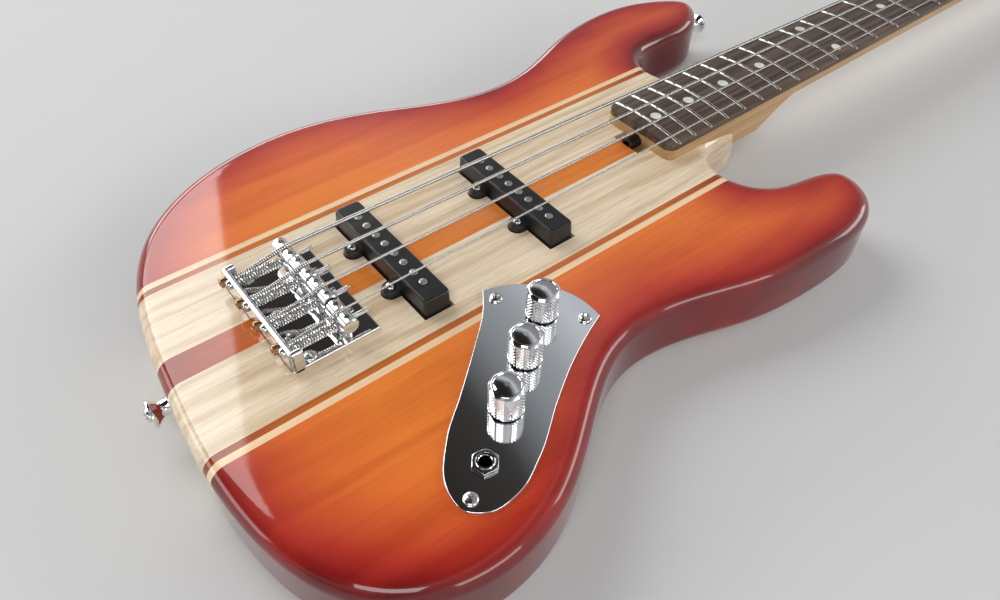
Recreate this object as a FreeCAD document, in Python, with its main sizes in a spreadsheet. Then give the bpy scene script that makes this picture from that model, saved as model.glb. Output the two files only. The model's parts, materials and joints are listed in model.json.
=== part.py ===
import FreeCAD, Part
import math
import os
import re

from FreeCAD import Placement, Rotation, Vector

# A four-string electric bass guitar lying on its back.
# +X runs along the neck from the saddles to the nut, +Y points to the bass side, +Z out of the front.
# The origin is under the saddle line, on the centre line, on the plane of the body's back.

# Driving sizes in millimetres, degrees and counts.
SIZES = {
    # Scale, strings and frets
    "scale_length": 863.6,
    "string_spacing": 20.0,
    "nut_spacing": 10.5,
    "string_diameter_e": 2.6,
    "string_diameter_a": 2.1,
    "string_diameter_d": 1.6,
    "string_diameter_g": 1.2,
    "string_lift": 17.4,
    "string_crown": 1.0,
    "nut_lift": 1.5,
    "retainer_width": 5.0,
    "retainer_height": 3.0,
    "retainer_stem": 2.2,
    "ball_radius": 3.0,
    "ball_length": 3.6,
    "string_leg": 3.0,
    "wind_gap": 0.3,
    "fret_count": 21,
    "fret_width": 2.4,
    "fret_height": 1.0,
    # Body
    "body_length": 525.0,
    "body_width": 341.0,
    "tail_reach": 95.0,
    "treble_share": 0.5396,
    "body_thickness": 44.0,
    "edge_round": 9.5,
    "centre_width": 18.0,
    "ash_width": 49.5,
    "dark_width": 4.2,
    "pale_width": 4.3,
    # Neck, fingerboard and headstock
    "neck_end": 248.0,
    "neck_corner": 7.0,
    "pocket_depth": 16.0,
    "neck_rise": 7.0,
    "heel_length": 98.0,
    "heel_blend": 40.0,
    "nut_width": 42.5,
    "nut_length": 5.0,
    "board_flare_share": 0.015,
    "board_thickness": 6.4,
    "board_radius": 184.0,
    "neck_depth_heel": 18.5,
    "neck_depth_nut": 15.5,
    "neck_side": 3.0,
    "dot_radius": 3.75,
    "dot_depth": 1.5,
    "dot_sink": 0.1,
    "dot_offset": 17.2,
    "headstock_length": 205.0,
    "headstock_width": 74.0,
    "headstock_treble": 33.0,
    "headstock_thickness": 14.0,
    "headstock_drop": 5.0,
    "throat_length": 38.0,
    "truss_radius": 3.0,
    "truss_depth": 6.5,
    "truss_length": 575.0,
    "truss_nut_radius": 4.6,
    "truss_nut_length": 14.0,
    "truss_socket": 2.5,
    "truss_slot_length": 9.5,
    "truss_slot_width": 24.0,
    "truss_slot_depth": 9.0,
    # Neck plate and its bolts
    "neck_plate_centre": 293.0,
    "neck_plate_length": 63.0,
    "neck_plate_width": 51.0,
    "neck_plate_thickness": 2.0,
    "neck_plate_corner": 8.0,
    "neck_plate_margin": 7.0,
    "neck_bolt_radius": 2.5,
    "neck_bolt_head": 4.6,
    "neck_bolt_length": 40.0,
    # Strap buttons
    "button_head_radius": 8.2,
    "button_waist_radius": 4.6,
    "button_base_radius": 6.0,
    "button_length": 13.0,
    "button_rim": 2.2,
    "horn_seat": 2.0,
    "tail_seat": 6.0,
    "button_height": 22.0,
    "horn_button_share": 0.868,
    # Wood screws
    "screw_radius": 1.7,
    "screw_head_radius": 3.7,
    "screw_head_height": 2.0,
    "screw_length": 22.0,
    "small_screw_radius": 1.2,
    "small_screw_head_radius": 2.4,
    "small_screw_length": 11.0,
    # Bridge
    "bridge_length": 52.0,
    "bridge_width": 79.0,
    "bridge_front": 16.5,
    "bridge_thickness": 2.0,
    "lip_height": 14.5,
    "lip_thickness": 3.6,
    "lip_tab": 8.0,
    "bridge_screw_inset": 12.0,
    "bridge_screw_spacing": 17.5,
    "saddle_radius": 4.75,
    "saddle_length": 19.2,
    "saddle_groove": 1.0,
    "saddle_waist": 3.6,
    "height_screw_radius": 1.5,
    "height_screw_spread": 5.6,
    "intonation_radius": 1.5,
    "intonation_head_radius": 2.9,
    "intonation_head_length": 2.6,
    "intonation_length": 47.0,
    "intonation_height": 11.0,
    "intonation_offset": 2.2,
    "anchor_offset": 4.2,
    "anchor_height": 8.6,
    "spring_wire_radius": 0.45,
    "spring_radius": 2.55,
    "spring_curls": 4,
    # Pickups
    "neck_pickup_centre": 139.6,
    "bridge_pickup_centre": 48.7,
    "neck_pickup_length": 93.5,
    "bridge_pickup_length": 97.0,
    "cover_width": 18.6,
    "cover_draft": 1.0,
    "cover_wall": 1.6,
    "cover_top": 11.5,
    "cover_depth": 10.0,
    "ear_radius": 5.2,
    "ear_reach": 13.0,
    "ear_spread": 20.0,
    "ear_top": 4.6,
    "ear_thickness": 8.0,
    "rout_depth": 22.0,
    "rout_gap": 0.6,
    "pole_radius": 2.4,
    "pole_spread": 4.6,
    "pole_spacing": 19.2,
    "pole_proud": 0.4,
    "pickup_screw_length": 34.0,
    "pickup_screw_head": 3.0,
    "pilot_radius": 2.1,
    "pilot_depth": 13.0,
    "foam_width": 11.0,
    "foam_length": 60.0,
    "coil_height": 12.0,
    # Control plate, knobs and jack
    "plate_length": 131.0,
    "plate_width": 112.0,
    "plate_tail": 14.0,
    "plate_outer": 162.5,
    "plate_thickness": 1.6,
    "control_x": 91.8,
    "control_y": 84.0,
    "control_step_x": 27.6,
    "control_step_y": 18.9,
    "cavity_radius": 14.5,
    "cavity_depth": 34.0,
    "knob_radius": 9.3,
    "knob_height": 18.0,
    "knob_chamfer": 1.6,
    "knob_clearance": 1.0,
    "knob_wall": 1.6,
    "knob_recess": 7.0,
    "shaft_radius": 3.0,
    "shaft_grip": 7.0,
    "pot_radius": 12.0,
    "pot_height": 9.0,
    "bushing_radius": 4.7,
    "bushing_length": 8.5,
    "nut_across": 12.6,
    "nut_thickness": 2.4,
    "jack_radius": 4.7,
    "jack_bore": 3.2,
    "jack_length": 19.0,
    "jack_proud": 4.2,
    "jack_flange": 7.5,
    # Tuners
    "tuner_pitch": 38.0,
    "tuner_first": 52.0,
    "tuner_angle": 15.0,
    "post_radius": 6.0,
    "post_waist": 4.6,
    "post_height": 15.0,
    "post_shoulder": 1.2,
    "post_cap": 2.0,
    "tuner_bushing_radius": 8.0,
    "tuner_flange_radius": 9.6,
    "tuner_flange_height": 1.6,
    "tuner_plate_length": 34.0,
    "tuner_plate_width": 30.0,
    "tuner_plate_thickness": 1.6,
    "wheel_teeth": 16,
    "worm_pitch": 3.6,
    "worm_radius": 4.2,
    "worm_turns": 3,
    "tooth_addendum": 1.1,
    "tooth_thickness": 1.3,
    "tooth_draft": 0.35,
    "wheel_thickness": 3.5,
    "key_shaft_radius": 2.8,
    "key_reach": 26.0,
    "key_length": 27.0,
    "key_width": 30.0,
    "key_thickness": 6.0,
    "ear_block": 3.2,
    "tuner_ear_width": 10.0,
    # Wiring
    "channel_radius": 3.5,
    "channel_side": 38.0,
    "lead_radius": 1.0,
    "lead_depth": 18.0,
    # Clearances
    "fit_gap": 0.05,
    "clear_gap": 0.35,
    "overrun": 5.0,
}

STRINGS = ("e", "a", "d", "g")
STRING_PLACE_SHARES = (1.5, 0.5, -0.5, -1.5)

doc = FreeCAD.newDocument("bass_guitar")
sheet = doc.addObject("Spreadsheet::Sheet", "Sizes")
for row, (alias, number) in enumerate(SIZES.items(), start=1):
    sheet.set(f"A{row}", alias)
    sheet.set(f"B{row}", str(number))
    sheet.setAlias(f"B{row}", alias)
doc.recompute()


class Dimensions:
    """The sheet's sizes as plain numbers."""

    def __getattr__(self, alias):
        return float(sheet.get(alias))


S = Dimensions()
NODES = []
ROUND_SIDES = 12
BAR_SIDES = 6
HEAD_SIDES = 10
GRUB_SIDES = 8
CHANNEL_SIDES = 8
WIRE_SIDES = 4

AXIS_TURNS = {
    "z": Rotation(),
    "x": Rotation(Vector(0, 1, 0), 90),
    "-x": Rotation(Vector(0, 1, 0), -90),
    "y": Rotation(Vector(1, 0, 0), -90),
    "-y": Rotation(Vector(1, 0, 0), 90),
    "-z": Rotation(Vector(1, 0, 0), 180),
}


def formula(text):
    """Puts the sheet's name before each size in a formula."""
    def full_name(word):
        return f"Sizes.{word.group()}" if word.group() in SIZES else word.group()
    return re.sub(r"[a-z]\w*", full_name, text)


def bind(item, **formulas):
    """Ties properties of an item to formulas of the sheet's sizes."""
    for name, text in formulas.items():
        item.setExpression(name, formula(text))
    return item


def place(item, at, turn=None):
    """Turns an item and puts it at three coordinates, each a formula or a worked-out number."""
    numbers = [0 if isinstance(value, str) else value for value in at]
    item.Placement = Placement(Vector(*numbers), turn or Rotation())
    for letter, value in zip("xyz", at):
        if isinstance(value, str):
            item.setExpression(f"Placement.Base.{letter}", formula(value))
    return item


def box(name, size, low):
    """A block from its three sizes and its lowest corner."""
    item = bind(doc.addObject("Part::Box", name), Length=size[0], Width=size[1], Height=size[2])
    return place(item, low)


def shaft(name, radius, height, at, axis="z"):
    """A true cylinder, for the bores that other pieces turn in."""
    item = bind(doc.addObject("Part::Cylinder", name), Radius=radius, Height=height)
    return place(item, at, AXIS_TURNS[axis])


def peg(name, radius, height, at, axis="z", sides=BAR_SIDES):
    """A many-sided bar that starts at a point and runs along an axis."""
    item = doc.addObject("Part::Prism", name)
    item.Polygon = sides
    bind(item, Circumradius=radius, Height=height)
    return place(item, at, AXIS_TURNS[axis])


def rod(name, radius, height, at, axis="z"):
    """A round bar drawn with flat sides, its corners on the true round."""
    return peg(name, radius, height, at, axis, ROUND_SIDES)


def value_of(text):
    """The value of a formula of the sheet's sizes."""
    return float(sheet.evalExpression(formula(text)))


def taper(name, start_radius, end_radius, height, at, axis="z"):
    """A bar with flat sides that narrows or widens along an axis."""
    up = Vector(0, 0, 1)
    low = ring_points(Vector(), up, value_of(start_radius), ROUND_SIDES)
    high = ring_points(up * value_of(height), up, value_of(end_radius), ROUND_SIDES)
    loft = Part.makeLoft([Part.makePolygon(low), Part.makePolygon(high)], True, True)
    return place(shape(name, loft), at, AXIS_TURNS[axis])


def fuse(name, items):
    """One solid from several that overlap."""
    item = doc.addObject("Part::MultiFuse", name)
    item.Shapes = items
    item.Refine = True
    return item


def cut(name, base, tools):
    """A base with tools taken out of it."""
    item = doc.addObject("Part::Cut", name)
    item.Base = base
    item.Tool = tools[0] if len(tools) == 1 else fuse(f"{name}_tools", tools)
    item.Refine = False
    return item


def common(name, first, second):
    """What two solids share."""
    item = doc.addObject("Part::Common", name)
    item.Base = first
    item.Tool = second
    return item


def group(name, items):
    """Separate solids kept together."""
    item = doc.addObject("Part::Compound", name)
    item.Links = items
    return item


def copy(name, master, at, turn=None):
    """A master piece set down at another place."""
    return place(group(name, [master]), at, turn)


def shape(name, solid):
    """An item whose form is worked out here from the sheet's sizes."""
    item = doc.addObject("Part::Feature", name)
    item.Shape = solid
    return item


def extrude(name, outline, height, low):
    """A plate from a flat outline, its height and its lowest level."""
    item = doc.addObject("Part::Extrusion", name)
    item.Base = outline
    item.DirMode = "Custom"
    item.Dir = Vector(0, 0, 1)
    item.Solid = True
    bind(item, LengthFwd=height)
    return place(item, (0, 0, low))


def node(item, name):
    """Marks an item as a finished sub-part."""
    item.Label = name
    NODES.append(item)
    return item


# Curves made of arcs, and the chords that outlines are drawn with

CHORD_TURN = 12
TIGHT_CHORD_TURN = 30
GAP_POINTS = 9
WIDE_RADIUS = S.edge_round * 2

def bend(start, corner, end):
    """Start, middle and end of the arc that leaves and arrives along a corner's two equal legs."""
    chord_middle = (start + end) * 0.5
    rise = corner - chord_middle
    half = (end - start).Length / 2
    leg = (corner - start).Length
    if rise.Length < 1e-6 * half:
        return start, chord_middle, end
    sagitta = half * math.tan(math.acos(min(1.0, half / leg)) / 2)
    return start, chord_middle + rise * (sagitta / rise.Length), end


def biarc(start, start_way, end, end_way):
    """Two arcs, tangent to each other, from one point and direction to another."""
    span = end - start
    along = span.dot(start_way + end_way)
    spread = 2 * (1 - start_way.dot(end_way))
    if spread > 1e-9:
        leg = (math.sqrt(along * along + spread * span.dot(span)) - along) / spread
    else:
        leg = span.dot(span) / (2 * along)
    first_corner = start + start_way * leg
    last_corner = end - end_way * leg
    middle = (first_corner + last_corner) * 0.5
    return [bend(start, first_corner, middle), bend(middle, last_corner, end)]


def closed_arcs(points):
    """Arcs along a smooth closed curve through points in plan."""
    curve = Part.BSplineCurve()
    curve.interpolate(Points=points, PeriodicFlag=True)
    ways = [curve.tangent(curve.parameter(point))[0].normalize() for point in points]
    arcs = []
    for index, point in enumerate(points):
        following = (index + 1) % len(points)
        arcs += biarc(point, ways[index], points[following], ways[following])
    return arcs


def open_arcs(points):
    """Arcs along a smooth open curve through points in plan."""
    curve = Part.BSplineCurve()
    curve.interpolate(Points=points)
    ways = [curve.tangent(curve.parameter(point))[0].normalize() for point in points]
    arcs = []
    for index in range(len(points) - 1):
        arcs += biarc(points[index], ways[index], points[index + 1], ways[index + 1])
    return arcs


def arc_edge(start, middle, end):
    """An arc as an edge, or a line where the three points are in line."""
    if (middle - (start + end) * 0.5).Length < 1e-6 * (end - start).Length:
        return Part.LineSegment(start, end).toShape()
    return Part.Arc(start, middle, end).toShape()


def chords(arcs):
    """Points along arcs, the closer together the wider an arc is."""
    points = []
    for start, middle, end in arcs:
        half_chord = (end - start).Length / 2
        turn = 4 * math.atan2((middle - (start + end) * 0.5).Length, half_chord)
        most = CHORD_TURN if half_chord / math.sin(turn / 2 + 1e-9) > WIDE_RADIUS else TIGHT_CHORD_TURN
        steps = max(1, math.ceil(turn / math.radians(most)))
        points += arc_edge(start, middle, end).discretize(steps + 1)[:-1]
    return points


def outward_ways(points):
    """The direction out of a closed outline at each of its points, long enough to move both sides equally."""
    ways = []
    for index, point in enumerate(points):
        before = (point - points[index - 1]).normalize()
        after = (points[(index + 1) % len(points)] - point).normalize()
        way = Vector(before.y + after.y, -before.x - after.x, 0)
        ways.append(way * (2 / way.dot(way)))
    return ways


def closed_wire(points):
    """A closed wire of straight runs."""
    return Part.makePolygon(points + points[:1])


def pipe(section_radius, arcs, first_way, sides):
    """One unbroken tube along arcs, with a many-sided section square to the start."""
    start = arcs[0][0]
    ring = Part.Wire(Part.makePolygon(ring_points(start, first_way, section_radius, sides)))
    path = Part.Wire([arc_edge(*arc) for arc in arcs])
    return path.makePipeShell([ring], True, False)


def ring_points(centre, way, radius, sides):
    """Corners of a many-sided ring square to a direction, the first one repeated."""
    up = Vector(0, 0, 1) if abs(way.z) < 0.9 else Vector(1, 0, 0)
    side = way.cross(up).normalize()
    other = way.cross(side).normalize()
    points = []
    for index in range(sides + 1):
        angle = 2 * math.pi * index / sides
        points.append(centre + side * (radius * math.cos(angle)) + other * (radius * math.sin(angle)))
    return points


def least_gap(arcs, tube_radius, apart):
    """A tube's least gap to itself, between points further apart along it than a given length."""
    points = []
    for arc in arcs:
        points += arc_edge(*arc).discretize(GAP_POINTS)[:-1]
    travelled = [0.0]
    for before, after in zip(points, points[1:]):
        travelled.append(travelled[-1] + (after - before).Length)
    distances = [(points[first] - points[second]).Length for first in range(len(points))
                 for second in range(first) if travelled[first] - travelled[second] > apart]
    return min(distances) - 2 * tube_radius


def cord_arcs(points, legs):
    """Straight runs between points, joined at each inner point by an arc with legs of a given length."""
    arcs = []
    start = points[0]
    for before, corner, after, leg in zip(points, points[1:], points[2:], legs):
        arrive = corner + (before - corner).normalize() * leg
        leave = corner + (after - corner).normalize() * leg
        arcs.append((start, (start + arrive) * 0.5, arrive))
        arcs.append(bend(arrive, corner, leave))
        start = leave
    arcs.append((start, (start + points[-1]) * 0.5, points[-1]))
    return arcs


# Places worked out from the sizes

def string_side(index):
    """Distance of a string from the centre line at the saddles."""
    return S.string_spacing * STRING_PLACE_SHARES[index]


def nut_side(index):
    """Distance of a string from the centre line at the nut."""
    return S.nut_spacing * STRING_PLACE_SHARES[index]


def string_radius(index):
    """Radius of a string."""
    return float(sheet.get(f"string_diameter_{STRINGS[index]}")) / 2


def board_half_width(x):
    """Half the fingerboard's width at a distance from the saddles."""
    return S.nut_width / 2 + S.board_flare_share * (S.scale_length - x)


def board_drop(y):
    """How far the fingerboard's crown falls at a distance from the centre line."""
    return S.board_radius - math.sqrt(S.board_radius ** 2 - y ** 2)


def groove_level(index):
    """Level of the underside of a string on its saddle."""
    outer = abs(STRING_PLACE_SHARES[index]) > 1
    return S.body_thickness + S.string_lift - (S.string_crown if outer else 0)


def saddle_level(index):
    """Level of a saddle's axis."""
    return groove_level(index) + S.saddle_groove - S.saddle_radius


def fret_place(number):
    """Distance of a fret from the saddles."""
    return S.scale_length * 2 ** (-number / 12)


def line(start, end):
    """A straight edge."""
    return Part.LineSegment(start, end).toShape()


def neck_plan(far, margin):
    """The neck's plan from its round-cornered heel end to a far end, with a margin on every side."""
    near = S.neck_end - margin
    sides = []
    for sign in (1, -1):
        corner = Vector(near, sign * (board_half_width(near) + margin), 0)
        outer = Vector(far, sign * (board_half_width(far) + margin), 0)
        along = (outer - corner).normalize()
        across = Vector(0, -sign, 0)
        sides.append((outer, corner + along * S.neck_corner, corner, corner + across * S.neck_corner))
    bass, treble = sides
    edges = [
        line(bass[0], bass[1]),
        arc_edge(*bend(*bass[1:])),
        line(bass[3], treble[3]),
        arc_edge(*bend(treble[3], treble[2], treble[1])),
        line(treble[1], treble[0]),
        line(treble[0], bass[0]),
    ]
    return Part.Face(Part.Wire(edges))


def slot_arcs(first, last, radius):
    """A long round-ended slot between two points."""
    along = (last - first).normalize()
    side = Vector(-along.y, along.x, 0) * radius
    return [
        (first - side, (first + last) * 0.5 - side, last - side),
        (last - side, last + along * radius, last + side),
        (last + side, (first + last) * 0.5 + side, first + side),
        (first + side, first - along * radius, first - side),
    ]


def slot_face(first, last, radius):
    """The slot as a flat face drawn with chords."""
    return Part.Face(closed_wire(chords(slot_arcs(first, last, radius))))


# Body: one outline, rounded at both edges, routed, then cut into glued strips

# Points of the body's outline, as shares of its length from the tail and of its width from the treble edge.
BODY_OUTLINE_SHARES = (
    (0.760, 0.446), (0.716, 0.428), (0.697, 0.364), (0.722, 0.293), (0.775, 0.267), (0.821, 0.232),
    (0.817, 0.170), (0.695, 0.109), (0.585, 0.131), (0.491, 0.174), (0.406, 0.176), (0.326, 0.111),
    (0.240, 0.026), (0.143, 0.000), (0.057, 0.059), (0.000, 0.305), (0.008, 0.540), (0.076, 0.862),
    (0.305, 1.000), (0.438, 0.947), (0.543, 0.886), (0.623, 0.884), (0.745, 0.950), (0.857, 0.982),
    (0.956, 0.950), (1.000, 0.883), (0.973, 0.824), (0.834, 0.786), (0.800, 0.739), (0.800, 0.680),
    (0.819, 0.628), (0.829, 0.554), (0.813, 0.475),
)
ROUND_STEPS = 3


def outline_points(shares, length, width, low_x, low_y):
    """Points from shares of a length and a width."""
    return [Vector(low_x + length * along, low_y + width * across, 0) for along, across in shares]


def body_blank():
    """The full body: a stack of outlines that draw in along a quarter round at the back and at the front."""
    points = chords(closed_arcs(outline_points(
        BODY_OUTLINE_SHARES[::-1], S.body_length, S.body_width,
        -S.tail_reach, -S.treble_share * S.body_width)))
    ways = outward_ways(points)
    levels = []
    for step in range(ROUND_STEPS + 1):
        angle = math.pi / 2 * step / ROUND_STEPS
        levels.append((S.edge_round * (1 - math.sin(angle)), S.edge_round * (1 - math.cos(angle))))
    levels += [(inset, S.body_thickness - level) for inset, level in reversed(levels)]
    wires = []
    for inset, level in levels:
        lift = Vector(0, 0, level)
        wires.append(closed_wire([point - way * inset + lift for point, way in zip(points, ways)]))
    return Part.makeLoft(wires, True, True)


def rounded_face(length, width, corner, centre_x):
    """A flat rectangle with round corners, centred on the neck's line."""
    corners = [Vector(centre_x + length / 2 * sx, width / 2 * sy, 0)
               for sx, sy in ((1, 1), (-1, 1), (-1, -1), (1, -1))]
    edges = []
    for index, point in enumerate(corners):
        back = (corners[index - 1] - point).normalize() * corner
        ahead = (corners[(index + 1) % len(corners)] - point).normalize() * corner
        edges.append(arc_edge(*bend(point + back, point, point + ahead)))
        edges.append(line(point + ahead, corners[(index + 1) % len(corners)] - ahead))
    return Part.Face(Part.Wire(edges))


PICKUPS = ("neck", "bridge")
EAR_SIDES = ((1, 1), (1, -1), (-1, 1), (-1, -1))
BRIDGE_SCREW_SHARES = (-2, -1, 0, 1, 2)
PLATE_BOLT_SIDES = ((1, 1), (1, -1), (-1, 1), (-1, -1))
CONTROL_COUNT = 3


def control_place(index):
    """Formulas for the plan position of a knob, or of the jack after the last knob."""
    return f"control_x - {index} * control_step_x", f"-control_y - {index} * control_step_y"


def control_point(index):
    """The same position as a point."""
    return Vector(S.control_x - index * S.control_step_x, -S.control_y - index * S.control_step_y, 0)


def bolt_place(sign_x, sign_y):
    """Formulas for the plan position of a neck bolt."""
    return (f"neck_plate_centre + {sign_x} * (neck_plate_length / 2 - neck_plate_margin)",
            f"{sign_y} * (neck_plate_width / 2 - neck_plate_margin)")


def neck_routs():
    """The neck pocket, the slot for the truss rod's adjuster, the neck plate's recess and the bolt holes."""
    pocket_end = S.body_length - S.tail_reach + S.overrun
    routs = [
        extrude("pocket_rout", shape("pocket_plan", neck_plan(pocket_end, S.fit_gap)),
                "pocket_depth + overrun", "body_thickness - pocket_depth"),
        box("truss_slot", ("truss_slot_length + overrun", "truss_slot_width", "truss_slot_depth + overrun"),
            ("neck_end - truss_slot_length", "-truss_slot_width / 2", "body_thickness - truss_slot_depth")),
        extrude("plate_recess", shape("recess_plan", rounded_face(
            S.neck_plate_length + 2 * S.fit_gap, S.neck_plate_width + 2 * S.fit_gap,
            S.neck_plate_corner, S.neck_plate_centre)),
            "neck_plate_thickness + overrun", "-overrun"),
    ]
    for number, sides in enumerate(PLATE_BOLT_SIDES):
        routs.append(peg(f"bolt_hole_{number}", "neck_bolt_radius + clear_gap", "body_thickness",
                         (*bolt_place(*sides), 0)))
    return routs


def pickup_routs():
    """A stepped rout for each pickup, with pilot holes for its screws, and the wiring channels."""
    routs = []
    for name in PICKUPS:
        centre = f"{name}_pickup_centre"
        length = f"({name}_pickup_length + 2 * rout_gap)"
        routs.append(box(f"{name}_rout", ("cover_width + 2 * rout_gap", length, "rout_depth + overrun"),
                         (f"{centre} - cover_width / 2 - rout_gap", f"-{length} / 2",
                          "body_thickness - rout_depth")))
        middle = float(sheet.get(centre))
        for side in (1, -1):
            first = Vector(middle - S.ear_reach, side * S.ear_spread, 0)
            last = Vector(middle + S.ear_reach, side * S.ear_spread, 0)
            plan = shape(f"{name}_ear_plan_{side + 1}", slot_face(first, last, S.ear_radius + S.rout_gap))
            routs.append(extrude(f"{name}_ear_rout_{side + 1}", plan, "rout_depth + overrun",
                                 "body_thickness - rout_depth"))
        for number, (sign_x, sign_y) in enumerate(EAR_SIDES):
            routs.append(peg(f"{name}_pilot_{number}", "pilot_radius", "pilot_depth + overrun",
                             (f"{centre} + {sign_x} * ear_reach", f"{sign_y} * ear_spread",
                              "body_thickness - rout_depth - pilot_depth")))
    routs.append(peg("pickup_channel", "channel_radius", "neck_pickup_centre - bridge_pickup_centre",
                     ("bridge_pickup_centre", "-channel_side", "body_thickness - lead_depth"), "x",
                     CHANNEL_SIDES))
    reach = "control_y + (control_x - bridge_pickup_centre) * control_step_y / control_step_x - channel_side"
    routs.append(peg("control_channel", "channel_radius", reach,
                     ("bridge_pickup_centre", "-channel_side", "body_thickness - lead_depth"), "-y",
                     CHANNEL_SIDES))
    return routs


PLATE_SCREW_SHARES = ((0.705, 0.912), (0.929, 0.545), (0.050, 0.098))


def plate_screw_place(along, across):
    """Formulas for the plan position of a control plate screw."""
    return f"plate_length * {along} - plate_tail", f"plate_width * {across} - plate_outer"


def screw_holes():
    """Pilot holes for the screws of bridge, control plate and strap buttons, with the buttons' seats."""
    holes = []
    places = [("bridge_front - bridge_length + bridge_screw_inset", f"{share} * bridge_screw_spacing")
              for share in BRIDGE_SCREW_SHARES]
    places += [plate_screw_place(*shares) for shares in PLATE_SCREW_SHARES]
    for number, at in enumerate(places):
        holes.append(peg(f"screw_hole_{number}", "screw_radius + fit_gap", "screw_length + overrun",
                         (*at, "body_thickness - screw_length")))
    for name, (x, y, axis, inward) in BUTTON_SEATS.items():
        at = (x, y, "button_height")
        holes.append(rod(f"{name}_seat", "button_base_radius + clear_gap", "4 * overrun", at, axis))
        holes.append(peg(f"{name}_hole", "screw_radius + fit_gap", "screw_length + overrun", at, inward))
    return holes


BUTTON_SEATS = {
    "tail_button": ("tail_seat - tail_reach", 0, "-x", "x"),
    "horn_button": ("body_length - tail_reach - horn_seat", "body_width * (horn_button_share - treble_share)",
                    "x", "-x"),
}


def strip(name, low, width, solid):
    """One glued strip of the body, from its lower side and its width."""
    slab = box(f"{name}_slab", ("body_length + 2 * overrun", width, "body_thickness + 2 * overrun"),
               ("-tail_reach - overrun", low, "-overrun"))
    return common(f"{name}_strip", solid, slab)


cavity_plan = shape("cavity_plan", slot_face(control_point(0), control_point(CONTROL_COUNT), S.cavity_radius))
cavity = extrude("control_cavity", cavity_plan, "cavity_depth + overrun", "body_thickness - cavity_depth")
routed_body = cut("routed_body", shape("body_blank", body_blank()),
                  neck_routs() + pickup_routs() + screw_holes() + [cavity])

ASH_EDGE = "(centre_width / 2 + ash_width)"
DARK_EDGE = "(centre_width / 2 + ash_width + dark_width)"
PALE_EDGE = "(centre_width / 2 + ash_width + dark_width + pale_width)"
node(strip("centre", "-centre_width / 2", "centre_width", routed_body), "centre_stripe")
node(strip("ash_bass", "centre_width / 2", "ash_width", routed_body), "ash_band_bass")
node(strip("ash_treble", f"-{ASH_EDGE}", "ash_width", routed_body), "ash_band_treble")
node(group("darks", [strip("dark_bass", ASH_EDGE, "dark_width", routed_body),
                     strip("dark_treble", f"-{DARK_EDGE}", "dark_width", routed_body)]), "dark_stripes")
node(group("pales", [strip("pale_bass", DARK_EDGE, "pale_width", routed_body),
                     strip("pale_treble", f"-{PALE_EDGE}", "pale_width", routed_body)]), "pale_stripes")
node(strip("bass", PALE_EDGE, "body_width", routed_body), "bass_wing")
node(strip("treble", f"-{PALE_EDGE} - body_width", "body_width", routed_body), "treble_wing")

# Neck: heel, shaft and headstock in one piece of maple

MAPLE_TOP = "(body_thickness + neck_rise)"
BOARD_TOP = "(body_thickness + neck_rise + board_thickness)"
HEAD_BACK = "(body_thickness + neck_rise - headstock_drop - headstock_thickness)"
maple_top = S.body_thickness + S.neck_rise
board_top = maple_top + S.board_thickness
head_face = maple_top - S.headstock_drop
head_back = head_face - S.headstock_thickness

# Points of the headstock's outline, as shares of its length from the nut and its width from the treble edge.
HEADSTOCK_SHARES = (
    (0.100, 0.165), (0.280, 0.080), (0.590, 0.012), (0.860, 0.000), (0.975, 0.090), (0.992, 0.320),
    (0.910, 0.500), (0.670, 0.700), (0.400, 0.950), (0.265, 0.993), (0.165, 0.865), (0.100, 0.728),
)
RETAINER_SHARE = 0.205


def line_side(index, x):
    """Distance of a string's straight run from the centre line at a distance from the saddles."""
    return string_side(index) + (nut_side(index) - string_side(index)) * x / S.scale_length


def tuner_point(index):
    """Plan position of a tuner's post, with its string running straight past the post's treble side."""
    x = S.scale_length + S.tuner_first + S.tuner_pitch * index
    return Vector(x, line_side(index, x) + S.post_waist + string_radius(index) + S.fit_gap, 0)


NECK_STEPS = 10


def neck_section(x, half, top, side, depth):
    """A section across the neck: flat top, straight sides and a back that bulges to its full depth."""
    points = [Vector(x, -half, top), Vector(x, half, top)]
    for step in range(NECK_STEPS + 1):
        angle = math.pi * step / NECK_STEPS
        points.append(Vector(x, half * math.cos(angle), top - side - (depth - side) * math.sin(angle)))
    return closed_wire(points)


def neck_shaft():
    """The neck from the end of its heel to the headstock, as straight runs between sections."""
    heel_end = S.neck_end + S.heel_length
    heel_depth = S.pocket_depth + S.neck_rise
    blend_end = heel_end + S.heel_blend
    nut_end = S.scale_length + S.nut_length
    throat_end = S.scale_length + S.throat_length
    sections = [
        neck_section(heel_end, board_half_width(heel_end), maple_top, heel_depth, heel_depth),
        neck_section(blend_end, board_half_width(blend_end), maple_top, S.neck_side, S.neck_depth_heel),
        neck_section(nut_end, S.nut_width / 2, maple_top, S.neck_side, S.neck_depth_nut),
        neck_section(throat_end, S.nut_width / 2, head_face, S.headstock_thickness, S.headstock_thickness),
    ]
    return Part.makeLoft(sections, True, True)


head_arcs = closed_arcs(outline_points(
    HEADSTOCK_SHARES[::-1], S.headstock_length, S.headstock_width, S.scale_length, -S.headstock_treble))
heel_plan = shape("heel_plan", neck_plan(S.neck_end + S.heel_length, 0))
head_plan = shape("head_plan", Part.Face(closed_wire(chords(head_arcs))))
neck_blank = fuse("neck_blank", [
    extrude("heel", heel_plan, "pocket_depth + neck_rise", "body_thickness - pocket_depth"),
    shape("neck_shaft", neck_shaft()),
    extrude("headstock", head_plan, "headstock_thickness", HEAD_BACK),
])

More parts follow.
